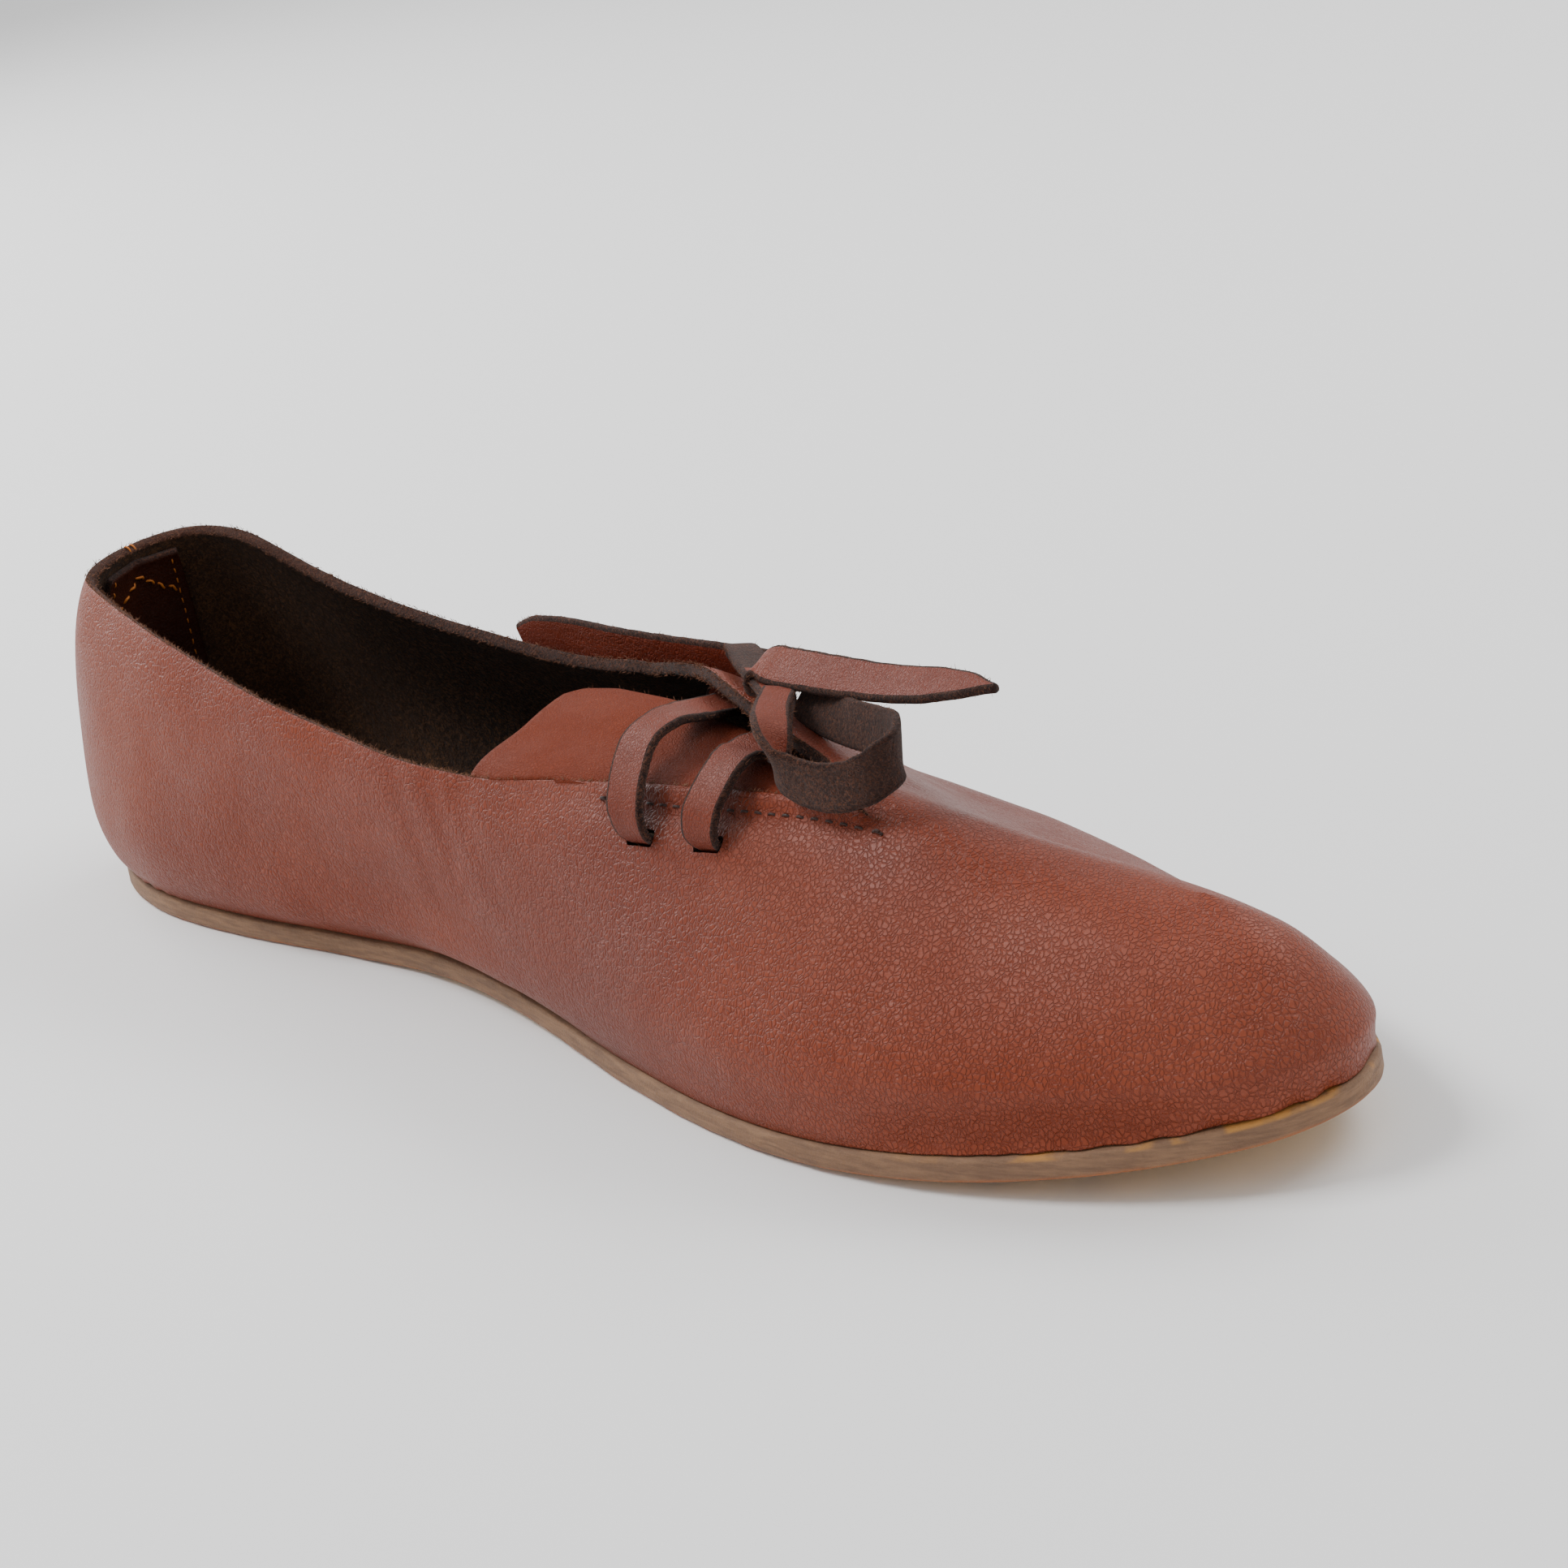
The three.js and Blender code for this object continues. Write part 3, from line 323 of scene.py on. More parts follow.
def flap_raise(at, rounds):
    near = np.maximum(0, 1 - (rounds - outer_edge(at)) / FLAP_REACH)
    return COLLAR * flap_value(at, 2) * near ** 2 * (3 - 2 * near)


# Meshes and materials


def metres(points):
    return (np.asarray(points, float) - (HEEL_SEAT, 0, 0)) * 0.001


def wavy(points, size, seed=0.0):
    """Smooth noise from -1 to 1 at each point; size is the width of its waves in millimetres."""
    return np.array([noise.noise(Vector(p) / size + Vector((seed, 3.7 * seed, 1.3))) for p in points])


def noise_at(*place):
    """Smooth noise from -1 to 1 at one place, with waves one unit wide."""
    return noise.noise(Vector(place))


def circle(count):
    return np.linspace(0, 2 * math.pi, count, endpoint=False)


def new_mesh(name, points, faces):
    mesh = bpy.data.meshes.new(name)
    mesh.from_pydata(metres(points).tolist(), [], [list(face) for face in faces])
    return mesh


def piece(name, points, faces, which, materials, slot, nodes=(), tones=None):
    """One piece on the root body; which gives each face its material."""
    mesh = new_mesh(name, points, faces)
    for material in materials:
        mesh.materials.append(material)
    if which is not None:
        mesh.polygons.foreach_set("material_index", np.asarray(which, dtype=np.int32))
    mesh.polygons.foreach_set("use_smooth", np.full(len(mesh.polygons), True))
    if tones is not None:
        mesh.attributes.new("tone", "FLOAT", "POINT").data.foreach_set("value", np.asarray(tones, float))
    tidy = bmesh.new()
    tidy.from_mesh(mesh)
    bmesh.ops.remove_doubles(tidy, verts=tidy.verts, dist=2e-6)
    loose = [vert for vert in tidy.verts if not vert.link_faces]
    bmesh.ops.delete(tidy, geom=loose, context="VERTS")
    bmesh.ops.recalc_face_normals(tidy, faces=tidy.faces)
    tidy.to_mesh(mesh)
    tidy.free()
    item = new_object(name, mesh)
    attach(item, "root")
    if nodes:
        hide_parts(*nodes)
    return item


def grid_faces(rows, columns, closed=False):
    """Faces of a grid that is stored row by row."""
    faces = []
    for i in range(rows - 1):
        for j in range(columns if closed else columns - 1):
            k = (j + 1) % columns
            faces.append((i * columns + j, i * columns + k, (i + 1) * columns + k, (i + 1) * columns + j))
    return faces


class Nodes:
    """Short words for making a material's nodes."""

    def __init__(self, name):
        self.material = bpy.data.materials.new(name)
        self.material.use_nodes = True
        self.tree = self.material.node_tree
        self.shader = self.tree.nodes["Principled BSDF"]
        self.place = self.tree.nodes.new("ShaderNodeTexCoord").outputs["Object"]

    def add(self, kind, inputs=(), **settings):
        node = self.tree.nodes.new(kind)
        for key, value in settings.items():
            setattr(node, key, value)
        for key, value in dict(inputs).items():
            self.put(node.inputs[key], value)
        return node

    def put(self, socket, value):
        if isinstance(value, bpy.types.NodeSocket):
            self.tree.links.new(value, socket)
        else:
            socket.default_value = value

    def noise(self, scale, detail=4, roughness=0.55, place=None, distortion=0):
        return self.add("ShaderNodeTexNoise", {
            "Vector": place or self.place, "Scale": scale, "Detail": detail, "Roughness": roughness,
            "Distortion": distortion}).outputs["Fac"]

    def stretch(self, scale):
        return self.add("ShaderNodeMapping", {"Vector": self.place, "Scale": scale}).outputs["Vector"]

    def cells(self, scale, place=None, feature="F1"):
        return self.add("ShaderNodeTexVoronoi", {"Vector": place or self.place, "Scale": scale},
                        feature=feature).outputs["Distance"]

    def band(self, value, low, high, to_low=0.0, to_high=1.0):
        return self.add("ShaderNodeMapRange", {
            "Value": value, "From Min": low, "From Max": high, "To Min": to_low, "To Max": to_high},
            interpolation_type="SMOOTHSTEP").outputs["Result"]

    def math(self, operation, a, b=0.0):
        return self.add("ShaderNodeMath", {0: a, 1: b}, operation=operation).outputs[0]

    def times(self, a, b):
        return self.math("MULTIPLY", a, b)

    def mix(self, share, a, b):
        return self.add("ShaderNodeMix", {0: share, 6: a, 7: b}, data_type="RGBA").outputs[2]

    def tone(self):
        return self.add("ShaderNodeAttribute", attribute_name="tone").outputs["Fac"]

    def bump(self, height, distance, before=None, strength=1.0):
        inputs = {"Height": height, "Distance": distance, "Strength": strength}
        if before is not None:
            inputs["Normal"] = before
        return self.add("ShaderNodeBump", inputs).outputs["Normal"]

    def set(self, **values):
        for key, value in values.items():
            self.put(self.shader.inputs[key.replace("_", " ")], value)
        return self.material


def rgb(red, green, blue):
    """A colour as it looks, 0 to 255, as linear light."""
    return tuple([((c / 255) ** 2.2) for c in (red, green, blue)] + [1.0])


def grain_leather(name, base, dark, pale, pebble=1300, depth=0.00016, rough=0.46,
                  coat=0.06, shine=0.28):
    """Satin grain: pebbles, fine flex lines, worn patches; the tone attribute makes it paler, which on the
    upper is wear and, at the heel, also painted light.
    """
    n = Nodes(name)
    cloud = n.add("ShaderNodeTexNoise", {"Vector": n.place, "Scale": 480, "Detail": 3}).outputs["Color"]
    drift = n.add("ShaderNodeVectorMath", {0: cloud, "Scale": 0.0013}, operation="SCALE").outputs[0]
    place = n.add("ShaderNodeVectorMath", {0: n.stretch((1, 1, 0.8)), 1: drift}, operation="ADD").outputs[0]
    fine = n.cells(pebble, place, "DISTANCE_TO_EDGE")
    large = n.cells(pebble * 0.42, place, "DISTANCE_TO_EDGE")
    coarse = n.band(n.noise(24, 3), 0.4, 0.62)
    flex = n.noise(1, 4, 0.6, n.stretch((260, 900, 1500)), 0.6)
    domes = n.band(fine, 0.0, 0.2)
    folds = n.band(large, 0.0, 0.16)
    height = n.math("ADD", domes, n.times(n.times(folds, coarse), 0.8))
    height = n.math("ADD", height, n.times(flex, 0.6))
    patches = n.band(n.noise(14, 4, 0.5), 0.25, 0.7, 0.35, 1.0)
    small = n.band(n.noise(160, 4, 0.65), 0.3, 0.75)
    color = n.mix(patches, dark, base)
    color = n.mix(n.times(small, 0.14), color, pale)
    color = n.mix(n.tone(), color, pale)
    color = n.mix(n.band(n.noise(11, 3, 0.45), 0.5, 0.72, 0.0, 0.4), color, BURNISH)
    lines = n.math("SUBTRACT", 1.0, n.band(fine, 0.0, 0.13))
    color = n.mix(n.times(lines, 0.5), color, dark)
    specks = n.band(n.noise(1400, 2), 0.7, 0.78)
    color = n.mix(n.times(specks, 0.35), color, pale)
    roughness = n.band(n.noise(55, 4), 0.3, 0.7, rough - 0.04, rough + 0.08)
    bump = n.bump(height, depth)
    bump = n.bump(n.noise(75, 3), 0.0009, bump, 0.25)
    return n.set(Base_Color=color, Roughness=roughness, Normal=bump, Coat_Weight=coat, Coat_Roughness=0.42,
                 Specular_IOR_Level=shine)


def suede(name, dark, pale, fibre=2600, depth=0.00028, sheen=0.25, patch=60):
    """Flesh side: a short tangled nap with lighter fibres."""
    n = Nodes(name)
    fibres = n.noise(fibre, 5, 0.7, None, 1.2)
    clumps = n.noise(fibre * 0.3, 3, 0.6, None, 0.8)
    color = n.mix(n.band(fibres, 0.42, 0.66), dark, pale)
    color = n.mix(n.band(n.noise(patch, 3), 0.35, 0.7, 0.0, 0.55), color, dark)
    color = n.mix(n.times(n.tone(), 0.8), color, pale)
    height = n.math("ADD", fibres, n.times(clumps, 1.4))
    return n.set(Base_Color=color, Roughness=0.95, Normal=n.bump(height, depth), Sheen_Weight=sheen,
                 Sheen_Roughness=0.6, Specular_IOR_Level=0.15)


def thread(name, color, dark):
    n = Nodes(name)
    twist = n.noise(3200, 3)
    return n.set(Base_Color=n.mix(twist, dark, color), Roughness=0.6, Normal=n.bump(twist, 0.0001))


GRAIN, GRAIN_DARK, GRAIN_PALE = rgb(124, 53, 27), rgb(98, 37, 18), rgb(156, 88, 68)
BURNISH = rgb(90, 42, 34)
upper_grain = grain_leather("upper_grain", GRAIN, GRAIN_DARK, GRAIN_PALE)
lace_grain = grain_leather("lace_grain", rgb(120, 52, 30), rgb(88, 34, 20), rgb(150, 84, 64),
                           pebble=1900, depth=0.0001, rough=0.56, coat=0.03)
gusset_grain = grain_leather("gusset_grain", rgb(112, 48, 25), rgb(88, 35, 18), rgb(136, 70, 50),
                             pebble=1900, depth=0.0001, rough=0.72, coat=0, shine=0.14)
stay_grain = grain_leather("stay_grain", rgb(66, 30, 14), rgb(40, 18, 9), rgb(96, 50, 26),
                           pebble=1900, depth=0.00006, rough=0.5, coat=0.1)
inner_suede = suede("inner_suede", rgb(34, 19, 11), rgb(116, 80, 52), 1400, 0.0006, 0.08)
cut_edge = suede("cut_edge", rgb(34, 17, 12), rgb(98, 60, 44), 2600, 0.0003, 0.08)
lace_suede = suede("lace_suede", rgb(44, 23, 15), rgb(102, 62, 43), 2400, 0.00045, 0.1)
insole_suede = suede("insole_suede", rgb(34, 24, 12), rgb(70, 52, 30), 1700, 0.0003, 0.05)
orange_thread = thread("orange_thread", rgb(214, 128, 48), rgb(150, 78, 24))
dark_thread = thread("dark_thread", rgb(66, 36, 26), rgb(28, 16, 12))


def sole_material():
    """Pale vegetable-tanned leather: warm patches, open grain, specks and long scratches."""
    n = Nodes("sole_honey")
    patches = n.band(n.noise(14, 5, 0.6), 0.32, 0.7)
    color = n.mix(patches, rgb(226, 190, 132), rgb(214, 160, 92))
    color = n.mix(n.band(n.noise(70, 5, 0.7), 0.35, 0.75, 0.0, 0.5), color, rgb(232, 204, 158))
    streak = n.noise(1, 4, 0.6, n.stretch((30, 900, 200)), 0.3)
    color = n.mix(n.band(streak, 0.5, 0.72, 0.0, 0.25), color, rgb(190, 138, 80))
    specks = n.band(n.cells(90), 0.0, 0.05, 1.0, 0.0)
    keep = n.band(n.noise(37, 2), 0.55, 0.6)
    color = n.mix(n.times(n.times(specks, keep), 0.8), color, rgb(88, 56, 34))
    color = n.mix(n.times(n.tone(), 0.85), color, rgb(176, 122, 70))
    pores = n.cells(2600, None, "SMOOTH_F1")
    scratch = n.band(n.noise(1, 2, 0.5, n.stretch((60, 2600, 1)), 0.8), 0.72, 0.78)
    height = n.math("SUBTRACT", n.math("ADD", pores, n.noise(1300, 3)), n.times(scratch, 1.2))
    return n.set(Base_Color=color, Roughness=n.band(n.noise(50, 3), 0.3, 0.7, 0.42, 0.62),
                 Normal=n.bump(height, 0.00007), Coat_Weight=0.08, Coat_Roughness=0.4)


def sole_edge_material():
    """Burnished edge: grey brown with layers along it, paler orange at the lower arris."""
    n = Nodes("sole_edge")
    along = n.noise(1, 5, 0.65, n.stretch((160, 160, 1500)), 0.2)
    color = n.mix(n.band(along, 0.3, 0.7), rgb(112, 83, 62), rgb(140, 106, 78))
    color = n.mix(n.band(n.noise(55, 5, 0.7), 0.4, 0.75, 0.0, 0.45), color, rgb(94, 68, 52))
    lower = n.band(n.math("ADD", n.tone(), n.times(n.noise(210, 3), 0.25)), 0.1, 0.36, 1.0, 0.0)
    color = n.mix(n.times(lower, 0.85), color, rgb(168, 96, 50))
    front = n.band(n.add("ShaderNodeSeparateXYZ", {"Vector": n.place}).outputs["X"], 0.19, 0.235)
    upper = n.times(n.band(n.tone(), 0.76, 0.9), n.band(n.noise(120, 3, 0.5), 0.48, 0.6))
    color = n.mix(n.times(n.times(upper, front), 0.85), color, rgb(190, 132, 62))
    height = n.math("ADD", along, n.noise(1700, 4, 0.7))
    return n.set(Base_Color=color, Roughness=0.66, Normal=n.bump(height, 0.00022))


def steel_material():
    n = Nodes("nail_steel")
    worn = n.noise(900, 4)
    color = n.mix(n.band(n.noise(45, 2), 0.4, 0.62), rgb(150, 156, 158), rgb(96, 104, 108))
    color = n.mix(n.band(worn, 0.35, 0.7, 0.0, 0.5), color, rgb(196, 200, 200))
    return n.set(Base_Color=color, Metallic=0.85, Roughness=n.band(worn, 0.3, 0.7, 0.32, 0.55),
                 Normal=n.bump(worn, 0.00005))


# Creases: line on the last by share of the length and round, width, height above the leather round it
CREASES = [
    ([(.468, 2.93), (.52, 2.9), (.57, 2.9), (.6, 2.9)], 3.2, -0.45),
    ([(.588, 2.975), (.66, 2.975), (.72, 2.975), (.785, 2.985)], 0.9, 0.8),
    ([(.6, 2.86), (.66, 2.86), (.72, 2.86), (.785, 2.88)], 1.1, -0.45),
    ([(.83, .75), (.87, .8), (.91, .72), (.945, .6)], 6, -1.1),
    ([(.72, 1.6), (.78, 1.75), (.84, 1.8)], 9, 0.35),
    ([(.405, 2.9), (.42, 2.5), (.425, 2.1)], 2.2, -0.32),
    ([(.435, 2.92), (.452, 2.55), (.46, 2.2)], 1.8, -0.38),
    ([(.46, 2.85), (.485, 2.5), (.5, 2.2)], 1.8, -0.3),
    ([(0, .1), (0, 1.5), (0, 2.97)], 0.7, -0.4),
    ([(.02, 1.2), (.08, 1.05), (.15, 1.1), (.22, 1)], 6, -0.35),
    ([(.3, 1.2), (.36, 1.6), (.42, 1.9)], 8, -0.7),
    ([(.56, 5.6), (.62, 5.3), (.68, 5.2)], 5, -0.4),
    ([(.7, 6.2), (.78, 6), (.86, 6.1)], 8, -0.4),
]


def line_distance(points, line):
    best = np.full(len(points), 1e9)
    for a, b in pairwise(line):
        run = b - a
        share = np.clip(((points - a) @ run) / (run @ run), 0, 1)[:, None]
        best = np.minimum(best, np.linalg.norm(points - a - share * run, axis=1))
    return best


def between(rows, parts, ends=0):
    """Places along a line that is given by share of the length and round; ends=1 adds each run's end."""
    for (at, around), (next_at, next_around) in pairwise(rows):
        for i in range(parts + ends):
            u = i / parts
            yield to_step(at + (next_at - at) * u), around + (next_around - around) * u


def line_on_last(rows):
    last = (to_step(rows[-1][0]), rows[-1][1])
    return np.array([last_point(step, around) for step, around in (*between(rows, 6), last)])


crease_lines = [(line_on_last(rows), width, height) for rows, width, height in CREASES]


def creased(points):
    """How far the leather stands off the last at these points of it."""
    total = wavy(points, 26, 1.0) * 0.35 + wavy(points, 9, 2.0) * 0.1
    for line, width, height in crease_lines:
        total += height * np.exp(-(line_distance(points, line) / width) ** 2)
    return total


def pleats(points, rounds):
    """Small gathers where the leather turns over the sole at the heel and the toe."""
    low = np.clip(1 - rounds / 0.7, 0, 1)
    angle = np.arctan2(points[:, 1], points[:, 0] - np.where(points[:, 0] < 144, 30, 240))
    ends = np.clip((46 - points[:, 0]) / 30, 0, 1) + np.clip((points[:, 0] - 236) / 30, 0, 1)
    return 0.28 * low * np.clip(ends, 0, 1) * np.sin(angle * 34 + wavy(points, 9, 5.0) * 3)


# Upper


def station_steps(count):
    marks = [0, to_step(THROAT_START), to_step(THROAT_END), 1]
    steps = [0.0]
    for a, b in pairwise(marks):
        parts = max(1, round(count * (b - a)))
        steps += [a + (b - a) * j / parts for j in range(1, parts + 1)]
    return steps


WALL_ROWS = np.concatenate([np.linspace(0, 0.2, 16)[:-1], np.linspace(0.2, 0.97, 46), [0.985, 0.996, 1]])
EDGE_ROWS = 3


def leather(step, rounds, side):
    """Outer and inner face of the upper's wall along a part of one section."""
    at = to_share(step)
    base, normals = last_points(step, rounds), last_normals(step, rounds)
    low = rounds if side < 0 else ROUND - rounds
    stand = creased(base) * np.clip(low / 0.5, 0, 1) + pleats(base, low)
    if side > 0:
        stand = stand + flap_raise(at, rounds)
    return base + normals * stand[:, None], base + normals * (stand - WALL)[:, None], normals


edge_lines = {-1: [], 1: []}


def upper_ring(step, side):
    at = to_share(step)
    edge, start = (inner_edge(at), 0) if side < 0 else (outer_edge(at), ROUND)
    rounds = start + (edge - start) * WALL_ROWS
    outside, inside, normals = leather(step, rounds, side)
    out = unit(outside[-1] - outside[-3])
    cut = []
    for k in range(1, EDGE_ROWS):
        share = k / EDGE_ROWS
        middle = outside[-1] * (1 - share) + inside[-1] * share
        uneven = 0.12 * noise_at(*middle / 0.9) + 0.1 * noise_at(*middle / 3.1)
        cut.append(middle + out * (0.14 + uneven))
    edge_lines[side].append((at, outside[-1], inside[-1], normals[-1], out))

    def level(inset, up):
        p = rim_inset(step, side, inset)
        return np.array([p[0], p[1], lift(p[0]) + SOLE_THICKNESS + FIT_GAP + up])

    return np.vstack([[level(FEATHER + MARGIN, 0)], outside, cut, inside[::-1][:-1],
                      [level(FEATHER + WALL, WALL)], [level(FEATHER + MARGIN, WALL)]])


def make_upper():
    steps = station_steps(230)
    rings = [upper_ring(step, -1) for step in steps] + [upper_ring(step, 1) for step in steps][::-1]
    shut = [to_share(step) >= THROAT_END - 1e-9 for step in steps]
    shut = shut + shut[::-1]
    rows, columns = len(rings), len(rings[0])
    first_cut, last_cut = len(WALL_ROWS), len(WALL_ROWS) + EDGE_ROWS - 1
    faces, which = [], []
    for i in range(rows):
        k = (i + 1) % rows
        for j in range(columns):
            m = (j + 1) % columns
            cut = first_cut <= j <= last_cut
            if cut and shut[i] and shut[k]:
                continue
            faces.append((i * columns + j, k * columns + j, k * columns + m, i * columns + m))
            which.append(2 if cut else (0 if j < first_cut else 1))
    points = np.vstack(rings)
    # Paler towards the heel and the toe: wear there, and at the heel also painted light falling from the
    # left
    tones = np.clip((60 - points[:, 0]) / 110, 0, 0.26) + np.clip((points[:, 0] - 262) / 80, 0, 0.2)
    tones = np.clip(tones + 0.12 * wavy(points, 30, 7.0), 0, 1)
    return piece("upper_leather", points, faces, which, [upper_grain, inner_suede, cut_edge],
                 "upper_leather", ["upper"], tones)


# Straps


def table_rows(rows):
    """Places, directions of the width and shares of it, from a table of the free lace."""
    rows = np.array(rows, float)
    return rows[:, :3] * (SOLE_LENGTH, BALL, COLLAR), rows[:, 3:6], rows[:, 6]


# Shares of the width where a strap comes up through its first slot
PINCH = [0.52, 0.62, 0.86]


def rows_on_last(rows, around=False, shares=()):
    """The same for a table of places on the last; the width runs along the shoe, or around it."""
    along, across = (0, 0.003) if around else (0.003, 0)
    places, sides = [], []
    for at, where, up in rows:
        step = to_step(at)
        side = last_point(step + along, where + across) - last_point(step - along, where - across)
        places.append(last_point(step, where) + last_normals(step, [where])[0] * up)
        sides.append(side / np.linalg.norm(side))
    return np.array(places), np.array(sides), np.array([*shares, *[1.0] * (len(rows) - len(shares))])


def strap_profile(half_width, half_thick, round_off=0.55, flats=7):
    """Corners of a flat strap's section, the upper face first; each has its side: 0 up, 1 edge, 2 down."""
    reach = half_width - round_off
    across = np.linspace(-reach, reach, flats)
    crown = 0.1 * (1 - (across / half_width) ** 2)
    top = [(a, half_thick + c, 0) for a, c in zip(across, crown)]
    bottom = [(a, -half_thick + 0.6 * c, 2) for a, c in zip(across[::-1], crown)]
    bevel = round_off * 0.35
    right = [(half_width - bevel, half_thick - 0.06, 1), (half_width, half_thick * 0.5, 1),
             (half_width + 0.05, 0, 1), (half_width, -half_thick * 0.5, 1),
             (half_width - bevel, -half_thick + 0.1, 1)]
    left = [(-a, -b, k) for a, b, k in right]
    return top + right + bottom + left


STRAP_SPACING = 0.55


def sweep(rows, spacing=STRAP_SPACING, seed=0, grow=0.0, thin=0.75):
    """Points, faces and sides of a strap along its rows, and the line of its centre."""
    places, sides, shares = rows
    knots = len(places) - 1
    rough_length = np.linalg.norm(np.diff(on_curve(places, np.linspace(0, 1, 200)), axis=0), axis=1).sum()
    count = max(12, int(rough_length / spacing))
    where = np.linspace(0, 1, count + 1)
    centre = on_curve(places, where)
    tangent = on_curve(places, np.minimum(1, where + 1e-4)) - on_curve(places, np.maximum(0, where - 1e-4))
    tangent /= np.linalg.norm(tangent, axis=1, keepdims=True)
    side = on_curve(sides, where)
    side -= tangent * (side * tangent).sum(1, keepdims=True)
    side /= np.linalg.norm(side, axis=1, keepdims=True)
    up = np.cross(tangent, side)
    share = np.interp(where * knots, np.arange(knots + 1), shares)
    points, kinds = [], []
    for i in range(count + 1):
        along = i * spacing
        wobble = 0.12 * noise_at(along / 2.3, seed, 0) + 0.05 * noise_at(along, seed, 9)
        half_width = LACE_WIDTH / 2 * share[i] + grow + wobble
        half_thick = LACE_THICKNESS / 2 * thin + grow
        profile = strap_profile(half_width, half_thick)
        for a, b, kind in profile:
            fuzz = 0.1 * noise_at(along * 1.1, a * 1.7, seed + b) if kind == 1 else 0
            points.append(centre[i] + side[i] * (a + math.copysign(fuzz, a)) + up[i] * b)
            if i == 0:
                kinds.append(kind)
    columns = len(kinds)
    faces = grid_faces(count + 1, columns, True)
    which = [1 if 1 in (kinds[j], kinds[(j + 1) % columns]) else kinds[j] for j in range(columns)] * count
    for start, end, way in ((0, 0, -1), (count * columns, -1, 1)):
        faces += [(len(points), start + j, start + (j + 1) % columns) for j in range(columns)]
        which += [1] * columns
        points.append(centre[end] + tangent[end] * way * 0.05)
    return np.array(points), faces, which, centre, side * (LACE_WIDTH * share)[:, None], up


def joined(parts):
    points, faces, which, base = [], [], [], 0
    for part in parts:
        points.append(part[0])
        faces += [tuple(base + k for k in face) for face in part[1]]
        which += list(part[2])
        base += len(part[0])
    return np.vstack(points), faces, which


hair_seeds = []


def strap_hairs(swept):
    """Keeps the places along both edges of a strap where loose fibres stand."""
    centre, side, up = swept[3:6]
    for i in range(1, len(centre) - 1):
        for way in (-1, 1):
            hair_seeds.append((centre[i] + side[i] * way * 0.48, side[i] * way / LACE_WIDTH, up[i], 1.0))


def cord_piece(name, rows, nodes, grain_up, seed, turned=(0, 0)):
    """A free length of the lace; between the turned places, in millimetres, only its flesh side shows."""
    swept = list(sweep(rows, seed=seed))
    columns = len(strap_profile(1, 1))
    grain, flesh = (0, 2) if grain_up else (2, 0)
    start, end = [int(place / STRAP_SPACING) * columns for place in turned]
    swept[2][start:end] = [flesh if kind == grain else kind for kind in swept[2][start:end]]
    order = [lace_grain, cut_edge, lace_suede] if grain_up else [lace_suede, cut_edge, lace_grain]
    item = piece(name, *swept[:3], order, "lace_leather", nodes)
    path = metres(swept[3])
    strap_hairs(swept)


# The cords come first
cord_piece("lace_side_strap", table_rows(SIDE_RUN), ["lace_side"], True, 3, (0, 27))
cord_piece("lace_loop_strap", table_rows(LOOP), ["lace_loop"], False, 5, (50, 90))
cord_piece("lace_front_strap", table_rows(KNOT + FRONT_END), ["lace_knot", "lace_front_end"], True, 7,
           (0, 6.5))
cord_piece("lace_back_strap", table_rows(BACK_END), ["lace_back_end"], True, 9)

# Crossings, run through their slots
crossings = [sweep(rows_on_last(REAR_CROSSING, shares=PINCH), seed=11),
             sweep(rows_on_last(FRONT_CROSSING, shares=PINCH), seed=13),
             sweep(rows_on_last(INNER_BAR, True), seed=15)]
piece("lace_crossing_straps", *joined(crossings), [lace_suede, cut_edge, lace_grain], "lace_leather",
      ["lace_crossings"])
for strap in crossings[:2]:
    strap_hairs(strap)

upper = make_upper()


def cut_slots():
    """Slits for the lace, cut through the wall round each end of the two crossings."""
    ends = [some for rows in (REAR_CROSSING, FRONT_CROSSING)
            for some in (rows_on_last(rows[:3], shares=PINCH), rows_on_last(rows[-3:]))]
    points, faces, _ = joined([sweep(some, spacing=1.0, seed=1, grow=0.35, thin=1.0) for some in ends])
    mesh = new_mesh("slot_cutters", points, faces)
    mesh.materials.append(cut_edge)
    cutter = new_object("slot_cutters", mesh)
    change = upper.modifiers.new("slots", "BOOLEAN")
    change.operation, change.solver, change.object = "DIFFERENCE", "FAST", cutter
    bpy.context.view_layer.update()
    result = bpy.data.meshes.new_from_object(upper.evaluated_get(bpy.context.evaluated_depsgraph_get()))
    upper.modifiers.clear()
    upper.data = result
    bpy.data.objects.remove(cutter)


cut_slots()

# Gusset: flush with the seam below, deeper under the flap


def slab(front, back):
    """A slab between two sheets, stored row by row; its faces are 0 front, 1 back or 2 cut edge."""
    rows, half = len(front), len(front[0])
    columns = 2 * half
    points = np.vstack([np.vstack([a, b[::-1]]) for a, b in zip(front, back)])
    faces = grid_faces(rows, columns, True)
    which = ([0] * (half - 1) + [2] + [1] * (half - 1) + [2]) * (rows - 1)
    for start in (0, (rows - 1) * columns):
        for j in range(half - 1):
            faces.append((start + j, start + j + 1, start + columns - 2 - j, start + columns - 1 - j))
            which.append(2)
    return points, faces, which


